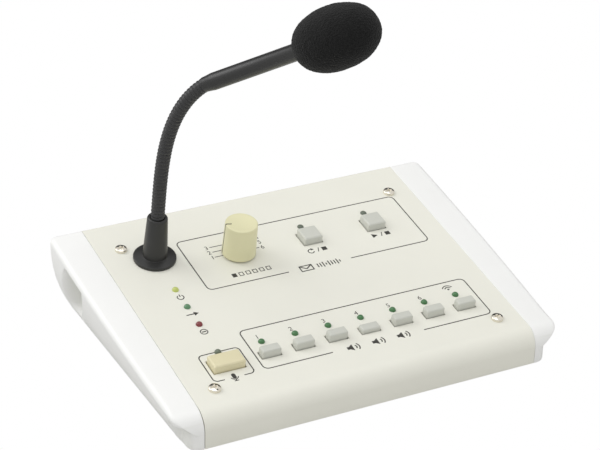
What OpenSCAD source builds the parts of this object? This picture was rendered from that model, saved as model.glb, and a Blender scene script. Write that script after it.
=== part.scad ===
// Desktop paging microphone: a sloping desk station with a gooseneck microphone.
// Millimetres. The origin is on the table under the middle of the case,
// +X is the user's right, -Y faces the user and +Z is up.
// Places on the control panel are given as u, the distance right of its middle line,
// and d, the distance down the slope from its rear edge.

/* [Case] */
// Width of the metal cover between the two cheeks
panel_w = 171; // [168:1:200]
// Depth of the case from front to rear
body_d = 143.5; // [143:0.5:170]
// Height of the unrounded front edge above the case bottom
front_h = 16.1; // [14.5:0.1:25]
// Slope of the control panel in degrees
tilt = 9.4; // [9:0.1:12]
// Thickness of the steel sheets
sheet_t = 1.2; // [0.8:0.1:1.5]
// Outer bend radius at the front edge
nose_r = 9; // [5:0.5:12]
// Outer bend radius at the rear edge
rear_r = 1.5; // [1.4:0.1:4]
// Height of the cover's lip over the rear wall
rear_lip = 9; // [5:0.5:12]
// Fitting gap between cover and tray
cover_fit = 0.15; // [0.05:0.05:0.3]

/* [Feet and case screws] */
// Height of the rubber feet under the case
foot_h = 1.5; // [1.5:0.5:6]
// Diameter of the rubber feet
foot_d = 14; // [8:1:20]
// Distance of each foot's middle from the nearest case edges
foot_inset = 16; // [12:1:30]
// Distance of the cover screws from the panel's side edges
screw_side = 11.9; // [7.5:0.1:12.4]
// Distance of the rear cover screws from the rear edge
screw_rear_d = 21.5; // [12:0.5:24]
// Distance of the front cover screws from the panel's unrounded front edge
screw_front = 16.25; // [14.5:0.25:18.5]
// Diameter of the pan heads
screw_head_d = 5.8; // [5:0.1:6.4]
// Height of the pan heads
screw_head_h = 1.9; // [1.2:0.1:2.4]
// Thread diameter of the case screws
screw_d = 3; // [2.5:0.1:3.5]
// Length of the case screws under the head
screw_len = 8; // [6:0.5:10]
// Diameter of the pillars under the cover
pillar_d = 7; // [5.5:0.5:7.5]

/* [Cheeks] */
// Width of a cheek at the table, outside the metal cover
cheek_foot_w = 7; // [6:0.5:12]
// How far the curved side wall swells out past its foot
cheek_swell = 10; // [8.5:0.5:12]
// Height above the case bottom where the side wall is widest
cheek_swell_h = 35.5; // [30:0.5:38]
// Wall thickness of the mouldings
cheek_wall = 2.5; // [2:0.1:3]
// Gap of the seam between cover and cheek
seam_gap = 0.25; // [0.1:0.05:0.4]
// Plan radius of the upper lip at the front corner
lip_corner_r = 9; // [7:1:16]
// Thickness of the upper lip at the front corner
lip_h = 6; // [4:0.5:7]
// Length of the undercut below the lip, from the front
undercut_len = 10; // [8:1:14]
// Plan radius of the front corner below the lip
plinth_r = 5; // [3:0.5:6]
// Plan radius of the rear corner
cheek_rear_r = 3.5; // [3:0.5:9]
// Diameter of the screw bosses
boss_d = 7; // [6:0.5:8]

/* [Finger grips] */
// Distance of the grip's rear end from the rear of the case
grip_rear = 17; // [14:0.5:24]
// Length of the grip
grip_len = 24; // [20:1:30]
// Height of the grip's ceiling above the case bottom
grip_h = 29; // [24:0.5:30]
// Height of the grip's slope, from its lower end to the ceiling
grip_drop = 19; // [14:0.5:20]
// Depth of the grip at its ceiling
grip_depth = 8; // [5:0.5:8]

/* [Buttons] */
// Height of a released cap above the panel
cap_h = 3.9; // [3.5:0.1:6]
// Depth of a released cap below the panel surface
cap_skirt = 1.9; // [1.7:0.1:2.4]
// Slope of the cap's top edges
cap_chamfer = 0.5; // [0.3:0.1:1.2]
// Gap between a cap and its window
cap_gap = 0.4; // [0.2:0.05:0.6]
// Travel of the latching zone buttons
zone_travel = 1.7; // [1.5:0.1:2.6]
// Travel of the talk and message buttons
push_travel = 1.5; // [1:0.1:2.5]
// Width and length of a zone cap
zone_cap = [9.4, 4.6];
// Width and length of a message cap
message_cap = [9.6, 9.3];
// Width and length of the talk cap
talk_cap = [15.4, 8.8];
// Diameter of the stem below each cap
cap_stem_d = 3.4; // [2.5:0.1:4]
// Radial play of a cap's stem in its switch
cap_play = 0.06; // [0.03:0.01:0.1]
// Edge of a push switch body
switch_w = 8.5; // [7:0.1:9]

/* [Button places] */
// First zone button from the middle line
zone_u = -39.6; // [-42:0.2:-38]
// Spacing of the zone buttons
zone_pitch = 17.2; // [16:0.1:17.5]
// Zone and talk button row from the rear edge
zone_d = 115.4; // [114:0.2:117]
// Distance of the zone and talk lamps behind their buttons
zone_lamp_row = 8.8; // [8.6:0.1:11]
// Talk button from the middle line
talk_u = -61.6; // [-62.5:0.1:-60]
// Repeat button from the middle line
repeat_u = 17.3; // [14:0.1:24]
// Start button from the middle line
start_u = 52.7; // [46:0.1:58]
// Message button row from the rear edge
message_d = 42.8; // [42:0.1:48]
// Distance of the message lamps behind their buttons
message_lamp_row = 9.7; // [9.3:0.1:11]

/* [Lamps] */
// Diameter of the lamps
lamp_d = 3; // [2.5:0.1:3.6]
// Height of the lamp domes above the panel
lamp_h = 1.5; // [0.6:0.1:2.4]
// Status lamp column from the middle line
status_u = -61.4; // [-63:0.1:-58]
// First status lamp from the rear edge
status_d = 58.5; // [57:0.1:62]
// Spacing of the status lamps
status_pitch = 13.55; // [11:0.05:14]

/* [Selector] */
// Selector from the middle line
selector_u = -20.9; // [-24:0.05:-14]
// Selector from the rear edge
selector_d = 42.3; // [40:0.1:46]
// Base diameter of the knob
knob_d = 16.8; // [16.4:0.1:20]
// Top diameter of the knob
knob_top_d = 16.2; // [12:0.1:18]
// Height of the knob
knob_h = 17.5; // [15:0.1:22]
// Gap between knob and panel
knob_gap = 0.8; // [0.4:0.1:1.5]
// Direction of the pointer at the first position, in degrees from the right
pointer_angle = 170; // [150:1:180]
// Diameter of the selector shaft
shaft_d = 6; // [5:0.1:6.4]
// Radial play of the shaft in its bush
shaft_play = 0.05; // [0.02:0.01:0.1]
// Thread diameter of the bush
bush_d = 9; // [8.4:0.1:9.4]
// Width across the flats of the bush nut
bush_nut_w = 12; // [11:0.1:12.2]

/* [Boards] */
// Depth of the control board's face below the panel surface
board_depth = 11; // [10.9:0.1:13]
// Thickness of the boards
board_t = 1.6; // [1:0.1:2]
// Half width of the control board
board_half_w = 69.5; // [68.5:0.1:69.6]
// Rear edge of the control board from the panel's rear edge
board_rear_d = 28.5; // [27.5:0.1:30]
// Front edge of the control board from the panel's rear edge
board_front_d = 124; // [121:0.5:126]
// Diameter of the board spacers
spacer_d = 5; // [4.5:0.1:6]
// Line socket from the middle line
socket_x = 40; // [30:1:55]
// Height of the line board above the tray
line_board_h = 6; // [4:0.5:7]

/* [Microphone] */
// Collar from the middle line
mic_u = -60.9; // [-62:0.05:-56]
// Collar from the rear edge
mic_d = 32.8; // [30:0.1:34]
// Direction in which the neck bends, in degrees from the right
neck_turn = -43; // [-60:0.5:0]
// Diameter of the collar's flange
flange_d = 20.8; // [18:0.1:24]
// Thickness of the flange at its rim
flange_t = 1.6; // [1.2:0.1:3]
// Diameter of the sleeve at its foot
sleeve_d = 11.7; // [11:0.1:13]
// Diameter of the sleeve at its top
sleeve_top_d = 9.8; // [9:0.1:10.8]
// Height of the sleeve's top above the panel
sleeve_h = 24.7; // [18:0.1:30]
// Thread diameter of the collar's tail
tail_d = 10; // [9:0.1:11]
// Diameter of the gooseneck over its ribs
neck_d = 6.6; // [5.9:0.05:6.9]
// Depth of the grooves between the ribs
rib_depth = 0.35; // [0.1:0.05:0.4]
// Ribs on each link
link_ribs = 5; // [4:1:8]
// Length of a link between its two pivots
link_len = 10.1; // [9.5:0.1:12]
// Angle of the gooseneck's upper end from the sleeve in degrees
neck_bend = 45; // [0:1:60]
// Angle of the stem from the sleeve in degrees
stem_angle = 55.2; // [0:0.2:64]
// Diameter of the microphone stem
stem_d = 8; // [8:0.1:9.4]
// Length of the stem that shows below the windscreen
stem_len = 48.2; // [30:0.1:60]
// Diameter of the capsule cup inside the windscreen
cup_d = 11; // [10.4:0.1:13]
// Diameter of the microphone capsule
capsule_d = 6; // [5:0.1:7]
// Diameter of the foam windscreen
foam_d = 28.7; // [24:0.1:38]
// Length of the foam windscreen
foam_len = 41.6; // [36:0.1:60]
// Gap between the foam and what it covers
foam_gap = 0.3; // [0.1:0.05:0.5]

/* [Hidden] */
$fn = 48;
eps = 0.1;
least_bend = 0.05;
front_y = -body_d / 2;
rear_y = body_d / 2;
bottom_z = foot_h;
floor_z = bottom_z + sheet_t;
corner_z = bottom_z + front_h;
rear_z = corner_z + body_d * tan(tilt);
half_w = panel_w / 2;

// Points on an arc about a middle point, from one angle to another
function arc(middle, r, from, to, steps) =
    [for (k = [0:steps])
        let (angle = from + (to - from) * k / steps)
        middle + r * [cos(angle), sin(angle)]];

// Middle of a bend of radius r that touches the sloping panel, at the depth y
function bend_middle(y, r) = [y, corner_z + (y - front_y) * tan(tilt) - r / cos(tilt)];

// Side view of the case: front wall, front bend, slope, rear bend and rear wall,
// drawn in by inset and down to the height low
function case_outline(inset, low) =
    let (rear_bend = max(rear_r, inset + least_bend))
    concat(
        [[front_y + inset, low]],
        arc(bend_middle(front_y + nose_r, nose_r), nose_r - inset, 180, 90 + tilt, 10),
        arc(bend_middle(rear_y - rear_bend, rear_bend), rear_bend - inset, 90 + tilt, 0, 5),
        [[rear_y - inset, low]]);

// Carries a flat outline drawn in Y and Z along X, from x0 for the width w
module along_x(x0, w) {
    translate([x0, 0, 0])
        rotate([90, 0, 90])
            linear_extrude(w)
                children();
}

// Carries a flat outline drawn in X and Z along Y, from y0 for the length l
module along_y(y0, l) {
    translate([0, y0 + l, 0])
        rotate([90, 0, 0])
            linear_extrude(l)
                children();
}

// Puts its children on the panel surface, with their Z along the panel's normal
module on_panel(u, d) {
    translate([0, rear_y, rear_z])
        rotate([tilt, 0, 0])
            translate([u, -d, 0])
                children();
}

// A round bar down from the height top to the depth bottom, both measured from the panel surface
module plug(diameter, top, bottom) {
    translate([0, 0, -bottom])
        cylinder(d = diameter, h = top + bottom);
}

// A block of width w and length l, from the height top down to the depth bottom
module block(w, l, top, bottom) {
    translate([-w / 2, -l / 2, -bottom])
        cube([w, l, top + bottom]);
}

// Places of the repeated parts
screw_u = panel_w / 2 - screw_side;
screw_front_d = body_d / cos(tilt) - screw_front;
cover_screw_places = [for (u = [-screw_u, screw_u], d = [screw_rear_d, screw_front_d]) [u, d]];
zone_count = 7;
latched_zone = 4;
zone_places = [for (k = [0:zone_count - 1]) [zone_u + k * zone_pitch, zone_d]];
message_places = [[repeat_u, message_d], [start_u, message_d]];
talk_place = [talk_u, zone_d];
zone_lamp_d = zone_d - zone_lamp_row;
message_lamp_d = message_d - message_lamp_row;
zone_lamps = [for (p = zone_places) [p[0], zone_lamp_d]];
message_lamps = [for (p = message_places) [p[0], message_lamp_d]];
talk_lamps = [[talk_u, zone_lamp_d]];
status_lamps = [for (k = [0:2]) [status_u, status_d + k * status_pitch]];
lamp_places = concat(status_lamps, zone_lamps, message_lamps, talk_lamps);
spacer_side = 2.4;
spacer_row = 15;
spacer_left = zone_u - spacer_side;
spacer_right = zone_u + (zone_count - 1) * zone_pitch + spacer_side;
spacer_rear_d = message_d + spacer_row;
spacer_front_d = zone_lamp_d - spacer_row;
spacer_places = [for (u = [spacer_left, 0, spacer_right], d = [spacer_rear_d, spacer_front_d]) [u, d]];

// Fits of the push switches
switch_top = cap_skirt + max(zone_travel, push_travel) + 0.2;
stem_bite = 2;
cap_stem_len = switch_top + stem_bite;
switch_bore = cap_stem_len + max(zone_travel, push_travel) + 0.5;

// Fits of the lamps
lamp_hole_d = lamp_d + 0.2;
lamp_rim_d = lamp_d + 0.8;
lamp_seat = 4;

// Fits of the screws
screw_play = 0.05;
screw_clear_d = screw_d + 0.4;
screw_end_play = 0.5;
cheek_screw_len = sheet_t + cheek_foot_w - 2;
cheek_hole_len = cheek_screw_len - sheet_t + screw_end_play;

// Cover and tray

module cover_window(place, cap) {
    on_panel(place[0], place[1])
        block(cap[0] + 2 * cap_gap, cap[1] + 2 * cap_gap, 1, sheet_t + 1);
}

module top_cover() {
    color("#e8e7de")
        difference() {
            along_x(-half_w, panel_w)
                difference() {
                    polygon(case_outline(0, bottom_z));
                    polygon(case_outline(sheet_t, bottom_z - eps));
                    translate([rear_y - sheet_t - eps, bottom_z - eps])
                        square([sheet_t + 2 * eps, rear_z - rear_lip - bottom_z + eps]);
                }
            for (p = cover_screw_places)
                on_panel(p[0], p[1])
                    plug(screw_clear_d, 1, sheet_t + 1);
            for (p = lamp_places)
                on_panel(p[0], p[1])
                    plug(lamp_hole_d, 1, sheet_t + 1);
            for (p = zone_places)
                cover_window(p, zone_cap);
            for (p = message_places)
                cover_window(p, message_cap);
            cover_window(talk_place, talk_cap);
            on_panel(selector_u, selector_d)
                plug(bush_d + 0.2, 1, sheet_t + 1);
            on_panel(mic_u, mic_d)
                plug(tail_d + 0.2, 1, sheet_t + 1);
        }
}

tray_inset = sheet_t + cover_fit;
tray_rear = rear_y - tray_inset - sheet_t;
boss_places = [[-20, 12], [rear_y - 12, 10]];

module base_tray() {
    color("#c9c9c4")
        difference() {
            along_x(-half_w, panel_w)
                polygon(case_outline(tray_inset, bottom_z));
            translate([-half_w + sheet_t, front_y, floor_z])
                cube([panel_w - 2 * sheet_t, tray_rear - front_y, rear_z]);
            translate([socket_x - socket_w / 2 - 0.2, tray_rear - eps, socket_z - 0.2])
                cube([socket_w + 0.4, sheet_t + 2 * eps, socket_h + 0.4]);
            for (p = boss_places)
                translate([-half_w - 1, p[0], bottom_z + p[1]])
                    rotate([0, 90, 0])
                        cylinder(d = screw_clear_d, h = panel_w + 2);
        }
}

module rubber_feet() {
    color("#2b2b2b")
        for (sx = [-1, 1], sy = [-1, 1])
            translate([sx * (half_w - foot_inset), sy * (rear_y - foot_inset), 0])
                rotate_extrude()
                    polygon([[0, 0], [foot_d / 2 - 1, 0], [foot_d / 2, foot_h], [0, foot_h]]);
}

module cover_pillars() {
    color("#b9b9b4")
        for (p = cover_screw_places)
            intersection() {
                on_panel(p[0], p[1])
                    difference() {
                        plug(pillar_d, -tray_inset + cover_fit, rear_z + 10);
                        plug(screw_d + 2 * screw_play, 0, screw_len + 2);
                    }
                translate([-half_w, front_y, floor_z])
                    cube([panel_w, body_d, rear_z]);
            }
}

// A cross-recessed pan-head screw, head up, with the underside of its head at zero
module pan_screw(shank) {
    recess_w = 0.16 * screw_head_d;
    recess_len = 0.58 * screw_head_d;
    recess_depth = 0.55 * screw_head_h;
    dome_r = screw_head_d / 2;
    difference() {
        union() {
            rotate_extrude()
                polygon(concat([[0, 0], [dome_r, 0]],
                    [for (a = [0:15:90])
                        [dome_r * (0.45 + 0.55 * cos(a)), screw_head_h * (0.35 + 0.65 * sin(a))]],
                    [[0, screw_head_h]]));
            translate([0, 0, -shank])
                cylinder(d = screw_d, h = shank + eps);
        }
        for (turn = [0, 90])
            rotate([0, 0, turn])
                translate([-recess_len / 2, -recess_w / 2, screw_head_h - recess_depth])
                    cube([recess_len, recess_w, screw_head_h]);
    }
}

module cover_screws() {
    color("#d8d8d8")
        for (p = cover_screw_places)
            on_panel(p[0], p[1])
                pan_screw(screw_len);
}

module cheek_screws() {
    color("#a8a8a8")
        for (side = [-1, 1], p = boss_places)
            translate([side * (half_w - sheet_t), p[0], bottom_z + p[1]])
                rotate([0, -side * 90, 0])
                    pan_screw(cheek_screw_len);
}

// Cheeks

cheek_in = half_w + seam_gap;
cheek_foot = half_w + cheek_foot_w;
cheek_out = cheek_foot + cheek_swell;
swell_r = (pow(cheek_swell_h, 2) + pow(cheek_swell, 2)) / (2 * cheek_swell);
swell_middle = [cheek_out - swell_r, bottom_z + cheek_swell_h];
swell_low = asin(cheek_swell_h / swell_r);
swell_top = asin((rear_z - swell_middle[1]) / swell_r);
lip_z = corner_z - lip_h;

// Front view of the cheek: flat inner face and swelling outer wall, drawn in by inset
function cheek_section(x0, inset) = concat(
    [[x0, bottom_z]],
    arc(swell_middle, swell_r - inset, -swell_low, swell_top, 12),
    [[x0, rear_z]]);

// Plan of the cheek with its rounded front and rear corners
function cheek_plan() = concat(
    [[cheek_in, front_y]],
    arc([cheek_out - lip_corner_r, front_y + lip_corner_r], lip_corner_r, -90, 0, 10),
    arc([cheek_out - cheek_rear_r, rear_y - cheek_rear_r], cheek_rear_r, 0, 90, 6),
    [[cheek_in, rear_y]]);

// Plan of what is cut away below the lip at the front corner
function undercut_plan() = concat(
    [[cheek_out + 1, front_y - 1], [cheek_out + 1, front_y + undercut_len],
        [cheek_foot, front_y + undercut_len]],
    arc([cheek_foot - plinth_r, front_y + plinth_r], plinth_r, 0, -90, 6),
    [[cheek_foot - plinth_r, front_y - 1]]);

grip_y = rear_y - grip_rear - grip_len;
grip_z = bottom_z + grip_h;
grip_in = cheek_out - grip_depth;

module cheek_body() {
    difference() {
        intersection() {
            along_x(cheek_in, cheek_out)
                polygon(case_outline(0, bottom_z));
            along_y(front_y, body_d)
                polygon(cheek_section(cheek_in, 0));
            linear_extrude(rear_z)
                polygon(cheek_plan());
        }
        translate([0, 0, bottom_z - eps])
            linear_extrude(lip_z - bottom_z + eps)
                polygon(undercut_plan());
        along_y(grip_y, grip_len)
            polygon([[cheek_out + 1, grip_z], [grip_in, grip_z], [cheek_out + 1, grip_z - grip_drop - 3]]);
    }
}

// The hollow of the cheek: wide ahead of the grip and narrow beside it
module cheek_hollow() {
    front_end = front_y + undercut_len + cheek_wall;
    grip_wall = grip_y - cheek_wall;
    intersection() {
        along_x(cheek_in - eps, cheek_out)
            polygon(case_outline(cheek_wall, bottom_z + cheek_wall));
        union() {
            along_y(front_end, grip_wall - front_end)
                polygon(cheek_section(cheek_in - eps, cheek_wall));
            translate([cheek_in - eps, front_end, bottom_z])
                cube([cheek_foot - cheek_wall - cheek_in + eps, body_d, rear_z]);
        }
    }
}

module cheek() {
    difference() {
        union() {
            difference() {
                cheek_body();
                cheek_hollow();
            }
            intersection() {
                for (p = boss_places)
                    translate([half_w, p[0], bottom_z + p[1]])
                        rotate([0, 90, 0])
                            cylinder(d = boss_d, h = cheek_out);
                union() {
                    cheek_body();
                    translate([half_w, front_y, bottom_z])
                        cube([cheek_foot_w - 1, body_d, rear_z]);
                }
            }
        }
        for (p = boss_places)
            translate([half_w - eps, p[0], bottom_z + p[1]])
                rotate([0, 90, 0])
                    cylinder(d = screw_d + 2 * screw_play, h = cheek_hole_len);
    }
}

module right_cheek() {
    color("#f7f7f5")
        cheek();
}

module left_cheek() {
    color("#f7f7f5")
        mirror([1, 0, 0])
            cheek();
}

// Boards

notch_u = -44;
notch_d = mic_d + 14;

module control_board() {
    color("#2f6b45")
        difference() {
            on_panel(0, 0)
                translate([0, 0, -board_depth - board_t])
                    linear_extrude(board_t)
                        polygon([[-board_half_w, -board_front_d], [board_half_w, -board_front_d],
                            [board_half_w, -board_rear_d], [notch_u, -board_rear_d],
                            [notch_u, -notch_d], [-board_half_w, -notch_d]]);
            for (p = spacer_places)
                on_panel(p[0], p[1])
                    plug(screw_clear_d, 0, board_depth + board_t + 1);
        }
}

module board_spacers() {
    color("#c8c8c8")
        for (p = spacer_places)
            on_panel(p[0], p[1])
                difference() {
                    plug(spacer_d, -sheet_t, board_depth);
                    plug(screw_d + 2 * screw_play, -sheet_t - 1, board_depth + 1);
                }
}

module board_screws() {
    color("#a8a8a8")
        for (p = spacer_places)
            on_panel(p[0], p[1])
                translate([0, 0, -board_depth - board_t])
                    rotate([180, 0, 0])
                        pan_screw(screw_len);
}

lead_d = 2.4;
lead_bend_r = 3;

// Chips on the control board: place u and d, width, length and height
chips = [[20, 74, 14, 14, 2], [-16, 74, 18, 7, 3], [44, 74, 10, 7, 2]];
header_w = 8;
header_len = 5;
header_h = 4;
mic_header = [mic_u, notch_d + 6];

module board_parts() {
    color("#303030") {
        for (chip = chips)
            on_panel(chip[0], chip[1])
                block(chip[2], chip[3], chip[4] - board_depth, board_depth);
        on_panel(mic_header[0], mic_header[1])
            block(header_w, header_len, -board_depth - board_t, board_depth + board_t + header_h);
        difference() {
            translate([socket_x - header_w / 2, link_y - header_len / 2, link_z])
                cube([header_w, header_len, 2 * header_h]);
            on_panel(socket_x, link_d)
                block(3 * header_w, 5 * header_len, 0, board_depth + board_t);
        }
        translate([socket_x - header_w / 2, line_header_y, socket_z])
            cube([header_w, 3, link_end_z + lead_d - socket_z]);
    }
}

// Push switches

module push_switch(place) {
    on_panel(place[0], place[1])
        difference() {
            block(switch_w, switch_w, -switch_top, board_depth);
            plug(cap_stem_d + 2 * cap_play, 0, switch_bore);
        }
}

module zone_switches() {
    color("#3a3a3a")
        for (p = zone_places)
            push_switch(p);
}

module message_switches() {
    color("#3a3a3a")
        for (p = message_places)
            push_switch(p);
}

module talk_switch() {
    color("#3a3a3a")
        push_switch(talk_place);
}

// Side view of a cap with sloped top edges, to half its width
function cap_outline(half) =
    let (edge = cap_h - cap_chamfer)
    [[-half, -cap_skirt], [half, -cap_skirt], [half, edge], [half - cap_chamfer, cap_h],
        [cap_chamfer - half, cap_h], [-half, edge]];

// A cap with sloped top edges and its stem, pressed in by the given travel
module push_cap(place, cap, pressed) {
    width = cap[0] / 2;
    length = cap[1] / 2;
    on_panel(place[0], place[1])
        translate([0, 0, -pressed]) {
            intersection() {
                along_y(-length, cap[1])
                    polygon(cap_outline(width));
                along_x(-width, cap[0])
                    polygon(cap_outline(length));
            }
            plug(cap_stem_d, -cap_skirt + eps, cap_stem_len);
        }
}

module zone_button(number) {
    color("#cbcbc3")
        push_cap(zone_places[number - 1], zone_cap, number == latched_zone ? zone_travel : 0);
}

module all_call_button() {
    zone_button(zone_count);
}

module repeat_button() {
    color("#cbcbc3")
        push_cap(message_places[0], message_cap, 0);
}

module start_button() {
    color("#cbcbc3")
        push_cap(message_places[1], message_cap, 0);
}

module talk_button() {
    color("#ddd5b2")
        push_cap(talk_place, talk_cap, 0);
}

// Lamps

module lamp(place) {
    r = lamp_d / 2;
    on_panel(place[0], place[1])
        translate([0, 0, -lamp_seat])
            rotate_extrude()
                polygon(concat([[0, 0], [lamp_rim_d / 2, 0], [lamp_rim_d / 2, 1], [r, 1]],
                    arc([0, lamp_seat + lamp_h - r], r, 0, 90, 6)));
}

module lamps(places, tint) {
    color(tint)
        for (p = places)
            lamp(p);
}

module power_led() {
    lamps([status_lamps[0]], "#a5af5f");
}

module send_led() {
    lamps([status_lamps[1]], "#5f8c69");
}

module busy_led() {
    lamps([status_lamps[2]], "#7d282d");
}

module zone_leds() {
    lamps(zone_lamps, "#3c7341");
}

module message_leds() {
    lamps(message_lamps, "#5a6455");
}

module talk_led() {
    lamps(talk_lamps, "#5a6455");
}

module led_spacers() {
    color("#444444")
        for (p = lamp_places)
            on_panel(p[0], p[1])
                plug(lamp_rim_d, -lamp_seat, board_depth);
}

// Selector

selector_box_w = 16;
selector_box_top = 2.6;
bush_h = 3;
bush_nut_h = 2;
knob_bore_top = knob_gap + knob_h - 3.5;
knob_hollow_h = bush_h + 1;
knob_hollow_d = bush_nut_w / cos(30) + 0.8;

module selector_switch() {
    color("#4a4a4a")
        on_panel(selector_u, selector_d)
            difference() {
                union() {
                    block(selector_box_w, selector_box_w, -selector_box_top, board_depth);
                    plug(bush_d, bush_h, selector_box_top + eps);
                }
                plug(shaft_d + 2 * shaft_play, bush_h + 1, board_depth - 2);
            }
}

module selector_nut() {
    color("#b8b8b8")
        on_panel(selector_u, selector_d)
            difference() {
                cylinder(d = bush_nut_w / cos(30), h = bush_nut_h, $fn = 6);
                plug(bush_d + 2 * screw_play, bush_nut_h + 1, 1);
            }
}

module selector_shaft() {
    color("#b8b8b8")
        on_panel(selector_u, selector_d)
            plug(shaft_d, knob_bore_top, board_depth - 2.5);
}

module selector_knob() {
    base_r = knob_d / 2;
    top_r = knob_top_d / 2;
    top = knob_gap + knob_h;
    edge_r = 0.6;
    line_w = 0.7;
    line_depth = 0.35;
    color("#e0dab8")
        on_panel(selector_u, selector_d)
            difference() {
                rotate_extrude()
                    polygon(concat([[0, knob_gap], [base_r, knob_gap]],
                        arc([top_r - edge_r, top - edge_r], edge_r, 0, 90, 4), [[0, top]]));
                plug(knob_hollow_d, knob_hollow_h, 1);
                plug(shaft_d, knob_bore_top, 1);
                rotate([0, 0, pointer_angle]) {
                    translate([top_r * 0.62, -line_w / 2, top - line_depth])
                        cube([base_r, line_w, 1]);
                    translate([top_r - line_depth, -line_w / 2, knob_gap + 1])
                        cube([base_r, line_w, knob_h]);
                }
            }
}

// Line board and socket at the rear

socket_w = 16;
socket_len = 21;
socket_h = 13.5;
line_board_z = floor_z + line_board_h;
socket_z = line_board_z + board_t;
line_board_w = 40;
line_board_len = 26;
line_spacer_d = 5;
line_spacer_inset = 4;
port_w = 11.8;
port_h = 8.2;
port_len = 14;

// Where the link cable leaves the control board, where its bend ends and the header that it runs into
link_drop = 0.5;
link_d = board_rear_d + 8;
link_y = rear_y - link_d * cos(tilt) + (board_depth + board_t) * sin(tilt);
link_z = rear_z - link_d * sin(tilt) - (board_depth + board_t) * cos(tilt) - header_h;
link_end_y = link_y + lead_bend_r;
link_end_z = link_z - link_drop - lead_bend_r;
line_header_y = max(link_end_y, tray_rear - line_board_len) + 1;

module line_board() {
    color("#2f6b45")
        translate([socket_x - line_board_w / 2, tray_rear - line_board_len, line_board_z])
            cube([line_board_w, line_board_len, board_t]);
}

module line_board_spacers() {
    color("#c8c8c8")
        for (dx = [-1, 1], y = [line_spacer_inset, line_board_len - line_spacer_inset])
            translate([socket_x + dx * (line_board_w / 2 - line_spacer_inset), tray_rear - y, floor_z])
                cylinder(d = line_spacer_d, h = line_board_h);
}

module line_socket() {
    wall = 1.6;
    color("#2a2a2a")
        translate([socket_x, tray_rear + sheet_t, socket_z])
            difference() {
                translate([-socket_w / 2, -socket_len, 0])
                    cube([socket_w, socket_len, socket_h]);
                translate([-port_w / 2, -port_len, socket_h - wall - port_h])
                    cube([port_w, port_len + 1, port_h]);
                translate([-port_w / 4, -port_len, wall])
                    cube([port_w / 2, port_len + 1, socket_h / 2]);
            }
}

// Cables inside the case

// A round lead that runs down its own Z, bends square towards +Y and runs straight on
module bent_lead(first, last) {
    translate([0, 0, -first])
        cylinder(d = lead_d, h = first);
    translate([0, lead_bend_r, -first]) {
        rotate([-90, 0, -90])
            rotate_extrude(angle = 90)
                translate([lead_bend_r, 0])
                    circle(d = lead_d);
        translate([0, 0, -lead_bend_r])
            rotate([-90, 0, 0])
                cylinder(d = lead_d, h = last);
    }
}

module mic_lead() {
    lead_top = tail_len - 3;
    lead_drop = board_depth + board_t + header_h / 2 - lead_bend_r - lead_top;
    lead_run = mic_header[1] - header_len / 2 - mic_d - lead_bend_r;
    color("#222222")
        on_panel(mic_u, mic_d)
            translate([0, 0, -lead_top])
                rotate([0, 0, 180])
                    bent_lead(lead_drop, lead_run);
}

module link_cable() {
    color("#222222")
        translate([socket_x, link_y, link_z])
            bent_lead(link_drop, line_header_y - link_end_y);
}

// Microphone collar

flange_rise = 0.9;
tail_len = 9;
tail_nut_w = 14;
tail_nut_h = 3;
washer_d = 16;
washer_t = 1;
lead_bore_d = lead_d + 0.6;
root_foot = 4;

module mic_collar() {
    flange_r = flange_d / 2;
    flange_edge = 0.3;
    sleeve_edge = 0.8;
    sleeve_bend = [sleeve_top_d / 2 - sleeve_edge, sleeve_h - sleeve_edge];
    color("#3a3a39")
        on_panel(mic_u, mic_d)
            difference() {
                union() {
                    rotate_extrude()
                        polygon(concat([[0, 0], [flange_r - flange_edge, 0], [flange_r, flange_edge],
                            [flange_r, flange_t - flange_edge], [flange_r - flange_edge, flange_t],
                            [sleeve_d / 2, flange_t + flange_rise]],
                            arc(sleeve_bend, sleeve_edge, 0, 90, 4), [[0, sleeve_h]]));
                    plug(tail_d, eps, tail_len);
                }
                plug(neck_d, sleeve_h + 1, -root_foot);
                plug(lead_bore_d, sleeve_h, tail_len + 1);
            }
}

module collar_washer() {
    color("#c8c8c8")
        on_panel(mic_u, mic_d)
            difference() {
                plug(washer_d, -sheet_t, sheet_t + washer_t);
                plug(tail_d + 2 * screw_play, 0, sheet_t + washer_t + 1);
            }
}

module collar_nut() {
    nut_top = sheet_t + washer_t;
    color("#c8c8c8")
        on_panel(mic_u, mic_d)
            difference() {
                translate([0, 0, -nut_top - tail_nut_h])
                    cylinder(d = tail_nut_w / cos(30), h = tail_nut_h, $fn = 6);
                plug(tail_d + 2 * screw_play, 0, nut_top + tail_nut_h + 1);
            }
}

// Gooseneck

link_count = 8;
ball_d = 4.4;
ball_play = 0.1;
neck_bore_d = 1.8;
waist_d = 3;
rim = 0.5;
shoulder = 2;
first_pivot = sleeve_h + 0.3 + shoulder;
neck_end = first_pivot + link_count * link_len;
bend_power = 2.5;

// Angle of the neck from the sleeve at the length s: straight at first, then bending ever more
function neck_angle(s) = neck_bend * pow((s - sleeve_h) / (neck_end - sleeve_h), bend_power);
function link_angle(k) = k > link_count ? stem_angle : neck_angle(first_pivot + (k - 0.5) * link_len);

// Pivot at the lower end of link k, in the plane in which the neck bends
function pivot(k) = k == 1 ? [0, 0, first_pivot]
    : pivot(k - 1) + link_len * [sin(link_angle(k - 1)), 0, cos(link_angle(k - 1))];

// Puts its children at the pivot of link k, with their Z along the link
module at_link(k) {
    on_panel(mic_u, mic_d)
        rotate([0, 0, neck_turn])
            translate(pivot(k))
                rotate([0, link_angle(k), 0])
                    children();
}

// Waist and ball that the next link turns on, with the ball's middle at the height h
module neck_ball(h) {
    translate([0, 0, h - shoulder - eps])
        cylinder(d = waist_d, h = shoulder + eps);
    translate([0, 0, h])
        sphere(d = ball_d);
}

module neck_socket() {
    sphere(d = ball_d + 2 * ball_play);
}

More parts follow.
